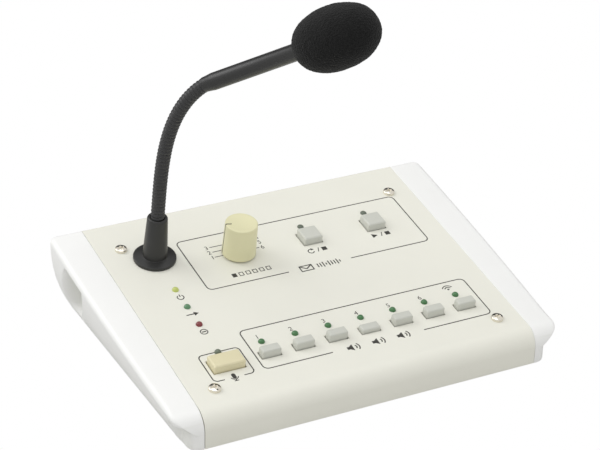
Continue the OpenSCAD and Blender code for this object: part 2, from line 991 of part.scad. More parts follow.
// Side of a ribbed tube from the height z0 to z1
function rib_side(z0, z1) =
    let (pitch = (z1 - z0) / link_ribs, r = neck_d / 2)
    [for (k = [0:link_ribs - 1], part = [[0, 1], [0.12, 0], [0.62, 0], [0.74, 1]])
        [r - rib_depth * part[1], z0 + (k + part[0]) * pitch]];

module gooseneck_root() {
    color("#2c2c2c")
        on_panel(mic_u, mic_d)
            difference() {
                union() {
                    plug(neck_d, first_pivot - shoulder, -root_foot);
                    neck_ball(first_pivot);
                }
                plug(neck_bore_d, neck_end, 0);
            }
}

module gooseneck_link(k) {
    top = link_len - shoulder;
    color("#2c2c2c")
        at_link(k)
            difference() {
                union() {
                    rotate_extrude()
                        polygon(concat([[0, -rim]], rib_side(-rim, top),
                            [[neck_d / 2 - rib_depth, top], [0, top]]));
                    neck_ball(link_len);
                }
                plug(neck_bore_d, 2 * link_len, link_len);
                neck_socket();
            }
}

// Stem, capsule and windscreen

stem_wall = 0.9;
stem_neck = 4.5;
cup_wall = 0.6;
foam_tail = stem_len;
foam_tip = foam_tail + foam_len;
cup_foot = foam_tail + 14;
cup_top = cup_foot + 13;
cup_floor = cup_foot + 4;

module mic_stem() {
    color("#333333")
        at_link(link_count + 1)
            difference() {
                rotate_extrude()
                    polygon([[0, -rim], [neck_d / 2, -rim], [neck_d / 2 + 0.2, rim],
                        [stem_d / 2 - 0.3, 0.7 * stem_neck], [stem_d / 2, stem_neck], [stem_d / 2, cup_foot],
                        [cup_d / 2, cup_foot + 2], [cup_d / 2, cup_top], [0, cup_top]]);
                neck_socket();
                plug(neck_bore_d, 10, 0);
                plug(stem_d - 2 * stem_wall, cup_floor + 1, -6);
                plug(cup_d - 2 * cup_wall, cup_top + 1, -cup_floor);
            }
}

module capsule_boot() {
    color("#1f1f1f")
        at_link(link_count + 1)
            difference() {
                plug(cup_d - 2 * cup_wall, cup_top - 2, -cup_floor);
                plug(capsule_d, cup_top, -cup_floor - 1);
            }
}

module mic_capsule() {
    color("#b0b0b0")
        at_link(link_count + 1)
            plug(capsule_d, cup_top - 2.2, -cup_floor - 1);
}

module capsule_grille() {
    hole_d = 0.9;
    color("#555555")
        at_link(link_count + 1)
            difference() {
                plug(cup_d - 2 * cup_wall, cup_top - 0.8, -cup_top + 2);
                for (ring = [[0, 1], [2, 6], [3.7, 12]], k = [0:ring[1] - 1])
                    rotate([0, 0, 360 * k / ring[1]])
                        translate([ring[0] * cup_d / 11, 0, 0])
                            plug(hole_d, cup_top, -cup_top + 3);
            }
}

module windscreen() {
    bore_r = stem_d / 2 + foam_gap;
    hollow_r = cup_d / 2 + foam_gap;
    hollow_foot = cup_foot - foam_gap;
    hollow_top = cup_top + foam_gap;
    steps = 28;
    first = 2;
    // Egg outline: an ellipse made a little fuller by its powers
    function egg(x) = foam_d / 2 * pow(1 - pow(abs(2 * x - 1), 2.25), 0.475);
    color("#282828")
        at_link(link_count + 1)
            rotate_extrude()
                polygon(concat([[bore_r, foam_tail]],
                    [for (k = [first:steps - 1])
                        [max(egg(k / steps), bore_r + 0.2), foam_tail + foam_len * k / steps]],
                    [[0, foam_tip], [0, hollow_top], [hollow_r, hollow_top], [hollow_r, hollow_foot + 2],
                    [bore_r, hollow_foot]]));
}

base_tray();
top_cover();
left_cheek();
right_cheek();
rubber_feet();
cover_pillars();
cover_screws();
cheek_screws();
control_board();
board_spacers();
board_screws();
board_parts();
zone_switches();
message_switches();
talk_switch();
power_led();
send_led();
busy_led();
zone_leds();
message_leds();
talk_led();
led_spacers();
selector_switch();
selector_nut();
line_board();
line_board_spacers();
line_socket();
mic_collar();
collar_washer();
collar_nut();
mic_lead();
link_cable();
gooseneck_root();
for (k = [1:link_count])
    gooseneck_link(k);
mic_stem();
capsule_boot();
mic_capsule();
capsule_grille();
windscreen();
selector_shaft();
selector_knob();
talk_button();
repeat_button();
start_button();
for (k = [1:zone_count - 1])
    zone_button(k);
all_call_button();
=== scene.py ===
import math

import bmesh
import bpy
import numpy as np
from mathutils import Matrix


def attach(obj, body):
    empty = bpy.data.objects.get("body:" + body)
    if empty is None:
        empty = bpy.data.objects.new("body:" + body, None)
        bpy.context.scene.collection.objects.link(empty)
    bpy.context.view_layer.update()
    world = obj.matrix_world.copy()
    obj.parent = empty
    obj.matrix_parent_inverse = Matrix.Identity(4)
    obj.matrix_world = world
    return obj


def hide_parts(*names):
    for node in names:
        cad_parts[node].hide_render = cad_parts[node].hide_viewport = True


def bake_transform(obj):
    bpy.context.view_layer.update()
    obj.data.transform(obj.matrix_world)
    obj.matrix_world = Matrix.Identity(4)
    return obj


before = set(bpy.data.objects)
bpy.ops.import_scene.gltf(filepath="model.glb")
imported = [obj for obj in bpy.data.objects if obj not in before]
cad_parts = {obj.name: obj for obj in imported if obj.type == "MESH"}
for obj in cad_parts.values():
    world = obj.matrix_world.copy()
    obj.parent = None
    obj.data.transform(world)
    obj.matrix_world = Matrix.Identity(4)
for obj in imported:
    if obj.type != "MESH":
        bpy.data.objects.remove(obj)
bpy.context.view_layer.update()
scene = bpy.context.scene

# Camera
# A long lens stands at the user's left, a little above the desk station.
# Its place and turn were worked out from the panel's printed lines.
camera_place = (-0.4037, -0.7571, 0.5119)
camera_right = (0.8897, -0.4559, 0.0239)
camera_up = (0.1939, 0.4248, 0.8843)
camera_back = (-0.4133, -0.7821, 0.4664)


def add_object(name, data):
    """New object in the scene, at the origin, that shows the data."""
    item = bpy.data.objects.new(name, data)
    scene.collection.objects.link(item)
    return item


camera_data = bpy.data.cameras.new("camera")
camera_data.sensor_fit = "HORIZONTAL"
camera_data.sensor_width = 36.0
camera_data.lens = 123.8
camera_data.clip_start = 0.05
camera_data.clip_end = 30.0
camera = add_object("camera", camera_data)
turn = Matrix((camera_right, camera_up, camera_back)).transposed()
camera.matrix_world = Matrix.Translation(camera_place) @ turn.to_4x4()
scene.camera = camera

# Studio
# A pale table in a white light tent that is open low at the rear, with soft boxes above and at
# the left. The table lights the part from below, and the camera sees an even white ground
# in its place.
scene.view_settings.view_transform = "Standard"
tent_level = 0.8
opening_level = 0.06
opening_way = (0.453, 0.877, -0.174)
opening_edge = (0.58, 0.65)


def set_sockets(node, values):
    """Puts constant values on the named sockets of a node."""
    for socket, value in values.items():
        node.inputs[socket].default_value = value


world = bpy.data.worlds.new("surround")
world.use_nodes = True
tent_nodes = world.node_tree.nodes
tent_links = world.node_tree.links
set_sockets(tent_nodes["Background"], {"Color": (1.0, 1.0, 1.0, 1.0)})
tent_place = tent_nodes.new("ShaderNodeTexCoord")
tent_side = tent_nodes.new("ShaderNodeVectorMath")
tent_side.operation = "DOT_PRODUCT"
tent_side.inputs[1].default_value = opening_way
tent_links.new(tent_place.outputs["Generated"], tent_side.inputs[0])
tent_fall = tent_nodes.new("ShaderNodeMapRange")
set_sockets(tent_fall, {
    "From Min": opening_edge[0],
    "From Max": opening_edge[1],
    "To Min": tent_level,
    "To Max": opening_level,
})
tent_links.new(tent_side.outputs["Value"], tent_fall.inputs["Value"])
tent_links.new(tent_fall.outputs["Result"], tent_nodes["Background"].inputs["Strength"])
scene.world = world


def unit(ways):
    """The same ways with a length of one, along the last axis."""
    return ways / np.linalg.norm(ways, axis=-1, keepdims=True)


def soft_box(name, place, target, size, power):
    """Square area light at a place, turned to a target, both in metres."""
    data = bpy.data.lights.new(name, "AREA")
    data.size = size
    data.energy = power
    light = add_object(name, data)
    back = unit(np.array(place) - np.array(target))
    side = unit(np.cross((0.0, 0.0, 1.0), back))
    up = np.cross(back, side)
    axes = Matrix((tuple(side), tuple(up), tuple(back))).transposed()
    light.matrix_world = Matrix.Translation(place) @ axes.to_4x4()


part_middle = (0.0, 0.0, 0.03)
soft_box("overhead_box", place=(-0.05, 0.0, 1.5), target=part_middle, size=1.2, power=4.6)
soft_box("left_box", place=(-0.9, 0.7, 1.0), target=part_middle, size=0.9, power=6.0)


def linear(red, green, blue):
    """Colour given as 0 to 255 screen values, as the linear values that a shader takes: a straight
    line near black and a power above it."""
    screen = np.array((red, green, blue)) / 255.0
    low = screen / 12.92
    high = ((screen + 0.055) / 1.055) ** 2.4
    return tuple(np.where(screen <= 0.04045, low, high)) + (1.0,)


def new_material(name, constants):
    """Material whose shader has the given constants on its sockets."""
    material = bpy.data.materials.new(name)
    material.use_nodes = True
    set_sockets(material.node_tree.nodes["Principled BSDF"], constants)
    return material


def pattern_on(material, kind, values):
    """Pattern node of a kind, with its values, that lies on a piece's own coordinates."""
    nodes = material.node_tree.nodes
    pattern = nodes.new(kind)
    set_sockets(pattern, values)
    place = nodes.new("ShaderNodeTexCoord")
    material.node_tree.links.new(place.outputs["Object"], pattern.inputs["Vector"])
    return pattern


def colour_by(material, pattern, colour, dark, pale):
    """Colours a material by a pattern: dark and pale each give a level of the pattern and the share
    of the colour there, and the tone runs evenly between them."""
    nodes = material.node_tree.nodes
    links = material.node_tree.links
    tone = nodes.new("ShaderNodeValToRGB")
    base = np.array(linear(*colour)[:3])
    for stop, (level, share) in zip(tone.color_ramp.elements, (dark, pale)):
        stop.position = level
        stop.color = tuple(np.minimum(base * share, 1.0)) + (1.0,)
    links.new(pattern, tone.inputs["Fac"])
    links.new(tone.outputs["Color"], nodes["Principled BSDF"].inputs["Base Color"])


def relief_by(material, pattern, height):
    """Bump on a material that follows a pattern, with its height in millimetres."""
    nodes = material.node_tree.nodes
    links = material.node_tree.links
    bump = nodes.new("ShaderNodeBump")
    set_sockets(bump, {"Strength": 1.0, "Distance": height / 1000.0})
    links.new(pattern, bump.inputs["Height"])
    links.new(bump.outputs["Normal"], nodes["Principled BSDF"].inputs["Normal"])


def finish(name, colour, roughness, grain=0.4, relief=0.01, mottle=0.03, metallic=0.0, coat=0.0):
    """Material whose colour and roughness drift with slow noise, with a fine noise relief.
    grain is the size of the relief's bumps and relief their height, in millimetres."""
    drift_scale = 45.0
    drift_levels = (0.3, 0.7)
    gloss_drift = 0.06
    constants = {"Metallic": metallic, "Coat Weight": coat, "Coat Roughness": 0.2}
    material = new_material(name, constants)
    nodes = material.node_tree.nodes
    links = material.node_tree.links
    slow = pattern_on(material, "ShaderNodeTexNoise", {"Scale": drift_scale, "Detail": 4.0})
    dark = (drift_levels[0], 1.0 - mottle)
    pale = (drift_levels[1], 1.0 + mottle)
    colour_by(material, slow.outputs["Fac"], colour, dark, pale)
    gloss = nodes.new("ShaderNodeMapRange")
    set_sockets(gloss, {"To Min": max(roughness - gloss_drift, 0.02),
                        "To Max": min(roughness + gloss_drift, 1.0)})
    links.new(slow.outputs["Fac"], gloss.inputs["Value"])
    links.new(gloss.outputs["Result"], nodes["Principled BSDF"].inputs["Roughness"])
    fine = pattern_on(material, "ShaderNodeTexNoise", {"Scale": 1000.0 / grain, "Detail": 2.0})
    relief_by(material, fine.outputs["Fac"], relief)
    return material


pale_table = finish("pale_table", (205, 205, 203), 0.9, grain=2.0, relief=0.002)
white_ground = finish("white_ground", (0, 0, 0), 0.9, grain=2.0, relief=0.002)
set_sockets(white_ground.node_tree.nodes["Principled BSDF"], {
    "Specular IOR Level": 0.0,
    "Emission Color": (1.0, 1.0, 1.0, 1.0),
    "Emission Strength": 1.0,
})
floor_half = 6.0
floor_corners = [(floor_half * x, floor_half * y, 0.0) for x, y in ((-1, -1), (1, -1), (1, 1), (-1, 1))]
for floor_name, floor_finish in (("table", pale_table), ("ground", white_ground)):
    floor_mesh = bpy.data.meshes.new(floor_name)
    floor_mesh.from_pydata(floor_corners, [], [(0, 1, 2, 3)])
    floor_mesh.materials.append(floor_finish)
    floor = add_object(floor_name, floor_mesh)
    floor.visible_camera = floor_name == "ground"
    floor.visible_diffuse = floor_name == "table"
    floor.visible_glossy = floor_name == "table"
    floor.visible_shadow = floor_name == "table"

# Base tray, feet and what the case holds
# Folded steel tray with moulded rubber feet, and behind the panel two boards with their switches,
# spacers, sockets and cables. These are the CAD's own solids, each given its real finish.
tray_paint = finish("tray_paint", (206, 206, 200), 0.5, grain=0.35, relief=0.012)
foot_rubber = finish("foot_rubber", (38, 38, 38), 0.85, grain=0.5, relief=0.03, mottle=0.1)
board_lacquer = finish("board_lacquer", (44, 104, 66), 0.4, grain=0.6, relief=0.02, mottle=0.12,
                       coat=0.3)
black_moulding = finish("black_moulding", (40, 40, 41), 0.5, grain=0.3, relief=0.01, mottle=0.06)
plain_steel = finish("plain_steel", (186, 187, 188), 0.32, grain=0.25, relief=0.006, mottle=0.05,
                     metallic=1.0)
turned_alloy = finish("turned_alloy", (200, 201, 202), 0.35, grain=0.2, relief=0.005, mottle=0.04,
                      metallic=1.0)
cable_sheath = finish("cable_sheath", (30, 30, 30), 0.6, grain=0.4, relief=0.01, mottle=0.08)
inner_finishes = (
    (tray_paint, ("base_tray",)),
    (foot_rubber, ("rubber_feet", "capsule_boot")),
    (board_lacquer, ("control_board", "line_board")),
    (turned_alloy, ("cover_pillars", "board_spacers", "line_board_spacers", "selector_shaft",
                    "mic_capsule")),
    (plain_steel, ("cheek_screws", "board_screws", "selector_nut", "collar_washer", "collar_nut",
                   "capsule_grille")),
    (black_moulding, ("board_parts", "zone_switches", "message_switches", "talk_switch",
                      "led_spacers", "selector_switch", "line_socket")),
    (cable_sheath, ("mic_lead", "link_cable")),
)
for node_finish, node_names in inner_finishes:
    for node_name in node_names:
        node_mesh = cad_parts[node_name].data
        node_mesh.materials.clear()
        node_mesh.materials.append(node_finish)

# Top cover
# One painted steel sheet, bent down at the front and the rear, with punched windows for the buttons.
# Four pan-head screws hold it to the pillars of the tray.
tilt = math.radians(9.4)
front_y = -71.75
rear_y = 71.75
bottom_z = 1.5
corner_z = 17.6
rear_z = corner_z + (rear_y - front_y) * math.tan(tilt)
half_w = 85.5
sheet_t = 1.2
sheet_edge = 0.1
nose_r = 9.0
rear_r = 1.5
rear_lip = 9.0
cap_gap = 0.5
zone_d = 115.4
zone_first_u = -39.6
zone_pitch = 17.2
zone_u = zone_first_u + zone_pitch * np.arange(7)
zone_cap = (9.4, 4.6)
message_u = (17.3, 52.7)
message_d = 42.8
message_cap = (9.6, 9.3)
talk_u = -61.6
talk_cap = (15.4, 8.8)
panel_axes = np.array((
    (1.0, 0.0, 0.0),
    (0.0, math.cos(tilt), math.sin(tilt)),
    (0.0, -math.sin(tilt), math.cos(tilt)),
))


def on_panel(points, u, d):
    """Points given right, up the slope and off the panel, moved to the place u, d and turned into
    the case's frame."""
    return np.array((0.0, rear_y, rear_z)) + (np.asarray(points) + np.array((u, -d, 0.0))) @ panel_axes


def surface(name, grid, wrap_columns=False, caps=False, keep=None, closed=True, sharp=40.0):
    """Mesh object from a grid of points in millimetres: each cell between four neighbours is a face.
    Points that fall together are merged, which closes seams and poles. keep says which cells stay,
    and caps closes the first and the last row with one flat face each. A closed surface has its
    faces turned outwards, and edges past the sharp angle, in degrees, stay crisp."""
    touch = 2e-6
    rows, columns = grid.shape[:2]
    index = np.arange(rows * columns).reshape(rows, columns)
    ends = [index[0].tolist(), index[-1].tolist()[::-1]] if caps else []
    if wrap_columns:
        index = np.hstack((index, index[:, :1]))
    cells = np.stack((index[:-1, :-1], index[1:, :-1], index[1:, 1:], index[:-1, 1:]), axis=-1)
    cells = cells[keep] if keep is not None else cells.reshape(-1, 4)
    mesh = bpy.data.meshes.new(name)
    mesh.from_pydata(grid.reshape(-1, 3) / 1000.0, [], cells.tolist() + ends)
    tidy = bmesh.new()
    tidy.from_mesh(mesh)
    bmesh.ops.remove_doubles(tidy, verts=tidy.verts, dist=touch)
    bmesh.ops.dissolve_degenerate(tidy, edges=tidy.edges, dist=touch / 2)
    bmesh.ops.delete(tidy, geom=[v for v in tidy.verts if not v.link_faces], context="VERTS")
    if closed:
        bmesh.ops.recalc_face_normals(tidy, faces=tidy.faces)
    tidy.to_mesh(mesh)
    tidy.free()
    mesh.polygons.foreach_set("use_smooth", np.ones(len(mesh.polygons), dtype=bool))
    mesh.set_sharp_from_angle(angle=math.radians(sharp))
    return add_object(name, mesh)


def dress(piece, material, body, slot, *nodes):
    """Gives a piece its material, its body and the CAD nodes that it stands for. The slot argument is not
    used.
    """
    piece.data.materials.clear()
    piece.data.materials.append(material)
    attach(piece, body)
    if nodes:
        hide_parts(*nodes)


def thicken(piece, name, thickness):
    """Gives a surface a thickness in millimetres, inwards from where it lies."""
    layer = piece.modifiers.new(name, "SOLIDIFY")
    layer.thickness = thickness / 1000.0
    layer.offset = -1.0


def bend_middle(y, r):
    """Height of the middle of a bend of radius r that touches the sloping panel, at the depth y."""
    return corner_z + (y - front_y) * math.tan(tilt) - r / math.cos(tilt)


def bend(y, r, start, stop, steps):
    """Arc of radius r that touches the sloping panel, about a middle at the depth y, as y and z."""
    angle = np.linspace(start, stop, steps)
    return np.column_stack((y + r * np.cos(angle), bend_middle(y, r) + r * np.sin(angle)))


windows = [(u, zone_d, zone_cap) for u in zone_u]
windows += [(u, message_d, message_cap) for u in message_u]
windows += [(talk_u, zone_d, talk_cap)]
slope_tangent = math.pi / 2 + tilt
rear_arc = bend(rear_y - rear_r, rear_r, 0.0, slope_tangent, 9)
nose_arc = bend(front_y + nose_r, nose_r, slope_tangent, math.pi, 25)
window_d = np.unique([d + s * (cap[1] / 2 + cap_gap) for u, d, cap in windows for s in (-1, 1)])
slope = np.column_stack((rear_y - window_d * math.cos(tilt), rear_z - window_d * math.sin(tilt)))
outline = np.vstack(([[rear_y, rear_z - rear_lip]], rear_arc, slope, nose_arc, [[front_y, bottom_z]]))
window_x = np.unique([u + s * (cap[0] / 2 + cap_gap) for u, d, cap in windows for s in (-1, 1)])
cover_x = np.unique(np.concatenate((window_x, np.linspace(-half_w, half_w, 9))))
cover_grid = np.zeros((len(outline), len(cover_x), 3))
cover_grid[:, :, 0] = cover_x[None, :]
cover_grid[:, :, 1:] = outline[:, None, :]
cell_x = (cover_x[:-1] + cover_x[1:]) / 2
cell_y = (outline[:-1, 0] + outline[1:, 0]) / 2
cell_d = (rear_y - cell_y) / math.cos(tilt)
solid_cells = np.ones((len(outline) - 1, len(cover_x) - 1), dtype=bool)
for u, d, cap in windows:
    in_width = np.abs(cell_x - u) < cap[0] / 2 + cap_gap
    in_length = np.abs(cell_d - d) < cap[1] / 2 + cap_gap
    solid_cells &= ~(in_length[:, None] & in_width[None, :])
cover = surface("cover_sheet", cover_grid, keep=solid_cells, closed=False)
thicken(cover, "sheet", sheet_t)
edges = cover.modifiers.new("edges", "BEVEL")
edges.width = sheet_edge / 1000.0
edges.segments = 2
edges.limit_method = "ANGLE"
edges.angle_limit = math.radians(50)
weights = cover.modifiers.new("weights", "WEIGHTED_NORMAL")
weights.keep_sharp = False
cover_paint = finish("cover_paint", (233, 232, 221), 0.42, grain=0.45, relief=0.008, mottle=0.008,
                     coat=0.1)
dress(cover, cover_paint, "case", "top_cover", "top_cover")

# Cheeks
# Two white moulded ends, screwed to the tray from inside, their tops flush with the cover. The outer
# wall swells outwards and has a finger grip near the rear and a rolled lip at the front corner.
# Painted shade darkens the grip and the crease under the lip.
seam_gap = 0.08
cheek_in = half_w + seam_gap
seam_opens = {"left": 0.3, "right": 0.05}
seam_fade = (2.0, 12.0)
seam_edge = 0.2
plinth_x = 92.5
swell_x = 102.5
swell_z = 37.0
swell_r = 68.0
lip_edge_z = 14.3
lip_root_z = 11.2
lip_r = 7.0
lip_least = 0.2
plinth_r = 5.0
undercut = (8.0, 13.0)
foot_edge = 0.8
cheek_rear_r = 3.5
cheek_edge = 2.6
edge_share = 0.45
edge_least = 0.3
grip_front = 30.75
grip_brink = 0.4
grip_roof = 0.5
grip_in = 89.5
grip_floor = (3.0, 9.5)
grip_top_z = 32.1
grip_lean = 0.0295
grip_lean_reach = 21.0
lean_from = 20.0
lean_margin = 2.0
grip_rear = (45.0, 17.0)
grip_rear_z = (36.2, 18.0)
grip_fade = (4.0, 14.0)
grip_fade_drop = 10.0
# Painted shade: a tint that darkens the grip with its depth and the crease under the lip, and faintly the
# plinth below it.
shade_tint = (218, 219, 208)
grip_shade = 0.9
shade_margin = 1.0
crease_spread = 2.0
crease_from = (0.3, 3.0)
crease_clear = 3.0
plinth_shade = 0.25
level_slack = 0.01


def smooth_step(value, low, high):
    """0 below low, 1 above high and a cubic ramp between."""
    share = np.clip((value - low) / (high - low), 0.0, 1.0)
    return share * share * (3.0 - 2.0 * share)


def corner_retreat(distance, r):
    """How far a round corner of radius r draws the wall in, at a distance before the corner's start."""
    reach = np.clip(distance, 0.0, r)
    return r - np.sqrt(r * r - reach * reach)


def cheek_wall(y, z):
    """Wall above the lip: a circular swell over the height, drawn in by round corners at both ends."""
    swell = swell_x - swell_r + np.sqrt(swell_r ** 2 - (z - swell_z) ** 2)
    front = corner_retreat(front_y + lip_r - y, lip_r)
    rear = corner_retreat(y - rear_y + cheek_rear_r, cheek_rear_r)
    return np.maximum(swell - front - rear, plinth_wall(y))


def plinth_wall(y):
    """Upright wall below the lip at the front, with its own small round corner."""
    return plinth_x - corner_retreat(front_y + plinth_r - y, plinth_r)


def past_undercut(y):
    """0 at the front, where the plinth stands back under the lip, and 1 behind the undercut."""
    return smooth_step(y, front_y + undercut[0], front_y + undercut[1])


def cheek_low_wall(y, z):
    """Wall below the lip: the plinth at the front, which runs out into the swell past the undercut."""
    share = past_undercut(y)
    return plinth_wall(y) * (1.0 - share) + cheek_wall(y, z) * share


def grip_front_edge(z):
    """Place of the grip's front edge, which leans to the rear with the square of the drop below
    its top."""
    return grip_front + grip_lean * np.clip(grip_top_z - z, 0.0, grip_lean_reach) ** 2


def grip_depth(y, z):
    """Depth of the finger grip: cut short at its leaning front edge, run out behind along a line that
    goes to the rear with the root of the drop, and run out towards the foot."""
    front = grip_front_edge(z)
    drop = np.clip(grip_rear_z[0] - z, 0.0, None)
    rear = grip_rear[0] + grip_rear[1] * np.sqrt(drop / grip_rear_z[1])
    fade = grip_fade[0] + (grip_fade[1] - grip_fade[0]) * smooth_step(drop, 0.0, grip_fade_drop)
    along = smooth_step(y, front - grip_brink, front + grip_brink)
    along = along * (1.0 - smooth_step(y, rear - fade, rear))
    return along * smooth_step(z, *grip_floor) * np.maximum(cheek_wall(y, z) - grip_in, 0.0)


def row_lean(y, z):
    """How far the mesh's rows lean to the rear below the grip's top: with its front edge there,
    and less with the distance from it."""
    near = smooth_step(y, front_y + lean_from, grip_front - lean_margin)
    near = near * (1.0 - smooth_step(y, grip_front + lean_margin, rear_y - cheek_rear_r))
    return (grip_front_edge(z) - grip_front) * near


def cheek_top(y):
    """Height of the cheek's top: the panel's slope between the nose bend and the rear bend."""
    top = corner_z + (y - front_y) * math.tan(tilt)
    for middle, r, way in ((front_y + nose_r, nose_r, -1.0), (rear_y - rear_r, rear_r, 1.0)):
        arc = bend_middle(middle, r) + np.sqrt(np.maximum(r ** 2 - (y - middle) ** 2, 0.0))
        past_tangent = way * (y - middle + r * math.sin(tilt))
        top = np.where(past_tangent > 0.0, arc, top)
    return top


def cheek_sections(y, seam_open):
    """Closed outlines of the cheek across each depth y, going up the outer wall and down the seam,
    which opens towards the front. The wall is laid out in bands of heights: below the lip, under it,
    up to the grip's ceiling and up to the rounded top edge."""
    y = y[:, None]
    top = cheek_top(y)
    edge = np.clip((top - lip_edge_z) * edge_share, edge_least, cheek_edge)
    lip = np.minimum(lip_edge_z, top - edge)
    root = np.minimum(lip_root_z, lip - lip_least)
    ceiling = np.maximum(top - edge - grip_roof, lip)
    rise = np.linspace(0.0, 1.0, 15)[None, :]
    low_z = bottom_z + foot_edge + (root - bottom_z - foot_edge) * rise
    low_y = y + row_lean(y, low_z)
    low_x = cheek_low_wall(low_y, low_z) - grip_depth(low_y, low_z)
    rise = np.linspace(0.0, 1.0, 8)[None, 1:-1]
    band_z = root + (lip - root) * rise
    under_lip = cheek_low_wall(y, root) * (1.0 - rise) + cheek_wall(y, lip) * rise
    behind = past_undercut(y)
    band_y = y + row_lean(y, band_z)
    band_x = under_lip * (1.0 - behind) + cheek_wall(band_y, band_z) * behind
    band_x = band_x - grip_depth(band_y, band_z)
    rise = np.linspace(0.0, 1.0, 41)[None, :]
    mid_z = lip + (ceiling - lip) * rise
    mid_y = y + row_lean(y, mid_z)
    mid_x = cheek_wall(mid_y, mid_z) - grip_depth(mid_y, mid_z)
    rise = np.linspace(0.0, 1.0, 4)[None, :]
    high_z = ceiling + (top - edge - ceiling) * rise
    high_x = cheek_wall(y, high_z)
    turn_up = np.radians(np.linspace(0.0, 90.0, 8))[None, 1:]
    edge_x = high_x[:, -1:] - edge + edge * np.cos(turn_up)
    edge_z = top - edge + edge * np.sin(turn_up)
    foot_turn = np.radians(np.linspace(0.0, 60.0, 3))[None, :]
    foot_x = low_x[:, :1] - foot_edge * (1.0 - np.sin(foot_turn))
    foot_z = bottom_z + foot_edge * (1.0 - np.cos(foot_turn)) + 0.0 * y
    seam_shut = smooth_step(y, front_y + seam_fade[0], front_y + seam_fade[1])
    seam = cheek_in + seam_open * (1.0 - seam_shut)
    seam_x = np.hstack((seam + seam_edge, seam, seam))
    seam_z = np.hstack((top, top - seam_edge, bottom_z + 0.0 * y))
    x = np.hstack((foot_x, low_x, band_x, mid_x, high_x, edge_x, seam_x))
    z = np.hstack((foot_z, low_z, band_z, mid_z, high_z, edge_z, seam_z))
    straight = np.hstack((high_x, edge_x, seam_x)) * 0.0 + y
    y = np.hstack((low_y[:, :1] + 0.0 * foot_x, low_y, band_y, mid_y, straight))
    return np.stack((x, y, z), axis=-1)


nose_turn = np.radians(np.linspace(0.0, 80.0, 18))
rear_turn = np.radians(np.linspace(5.0, 90.0, 18))
undercut_rows = (front_y + 7.8, front_y + 13.5)
plain_row = front_y + 16.0
brink_rows = (0.5, 1.0)
cheek_y = np.concatenate((
    front_y + nose_r * (1.0 - np.cos(nose_turn)),
    np.linspace(*undercut_rows, 12),
    np.linspace(plain_row, grip_front - brink_rows[1], 16),
    np.linspace(grip_front - brink_rows[0], grip_front + brink_rows[0], 6),
    np.linspace(grip_front + brink_rows[1], rear_y - cheek_rear_r, 64),
    rear_y - cheek_rear_r + cheek_rear_r * np.sin(rear_turn),
))


def painted_shade_share(x, y, z):
    """Share of painted shade on the outer wall, from 0 to 1: with the depth of the grip, and in the
    crease that lies under the lip at the front, from where it thins out down the plinth."""
    grip = grip_shade * grip_depth(y, z) / (swell_x - grip_in)
    ceiling = cheek_top(y) - cheek_edge - grip_roof
    grip = np.where((x > grip_in - shade_margin) & (z <= ceiling + level_slack), grip, 0.0)
    crease = np.clip(1.0 - (lip_root_z - z) / crease_spread, plinth_shade, 1.0)
    crease = crease * smooth_step(y, front_y + crease_from[0], front_y + crease_from[1])
    crease = crease * (1.0 - past_undercut(y))
    crease = np.where((x > cheek_in + crease_clear) & (z < lip_edge_z + level_slack), crease, 0.0)
    return np.clip(grip + crease, 0.0, 1.0)


def paint_shade(material, mark, tint):
    """Paints shade onto a finish: multiplies its colour by a tint, as far as the piece's own mark says,
    from 0 to 1.
    """
    nodes = material.node_tree.nodes
    links = material.node_tree.links
    shader = nodes["Principled BSDF"]
    unshaded = shader.inputs["Base Color"].links[0].from_socket
    shade_mark = nodes.new("ShaderNodeAttribute")
    shade_mark.attribute_name = mark
    shade_mix = nodes.new("ShaderNodeMix")
    shade_mix.data_type = "RGBA"
    shade_mix.blend_type = "MULTIPLY"
    shade_mix.inputs["B"].default_value = linear(*tint)
    links.new(shade_mark.outputs["Fac"], shade_mix.inputs["Factor"])
    links.new(unshaded, shade_mix.inputs["A"])
    links.new(shade_mix.outputs["Result"], shader.inputs["Base Color"])


def mesh_points(mesh):
    """Places of a mesh's points, one row each."""
    points = np.zeros(len(mesh.vertices) * 3)
    mesh.vertices.foreach_get("co", points)
    return points.reshape(-1, 3)


cheek_plastic = finish("cheek_plastic", (242, 242, 240), 0.45, grain=0.3, relief=0.006, mottle=0.006,
                       coat=0.05)
# The cheek's colour is darkened by painted shade where the piece's mark says.
paint_shade(cheek_plastic, "painted_shade", shade_tint)
for side, side_sign in (("left", -1.0), ("right", 1.0)):
    cheek_loft = cheek_sections(np.unique(cheek_y), seam_opens[side])
    cheek_loft = cheek_loft * np.array((side_sign, 1.0, 1.0))
    cheek = surface(side + "_cheek_moulding", cheek_loft, wrap_columns=True, caps=True, sharp=32.0)
    x, y, z = mesh_points(cheek.data).T * 1000.0
    # Share of painted shade at each point of the cheek, stored as the mark.
    painted_shade = cheek.data.attributes.new("painted_shade", "FLOAT", "POINT")
    painted_shade.data.foreach_set("value", painted_shade_share(np.abs(x), y, z))
    dress(cheek, cheek_plastic, "case", side + "_cheek", side + "_cheek")

# Cover screws
# Four bright pan-head screws with a cross recess, driven through the cover into the pillars.
# The head is a dome over a plate, and the recess is pressed down into it.
screw_u = 73.6
screw_d = (21.5, 129.2)
screw_places = [(u, d) for u in (-screw_u, screw_u) for d in screw_d]
head_r = 2.9
head_h = 1.7
head_rise = 0.5
head_edge = 0.4
recess_half = 0.42
recess_reach = 1.4
recess_depth = 0.5
recess_slope = (0.75, 1.05)


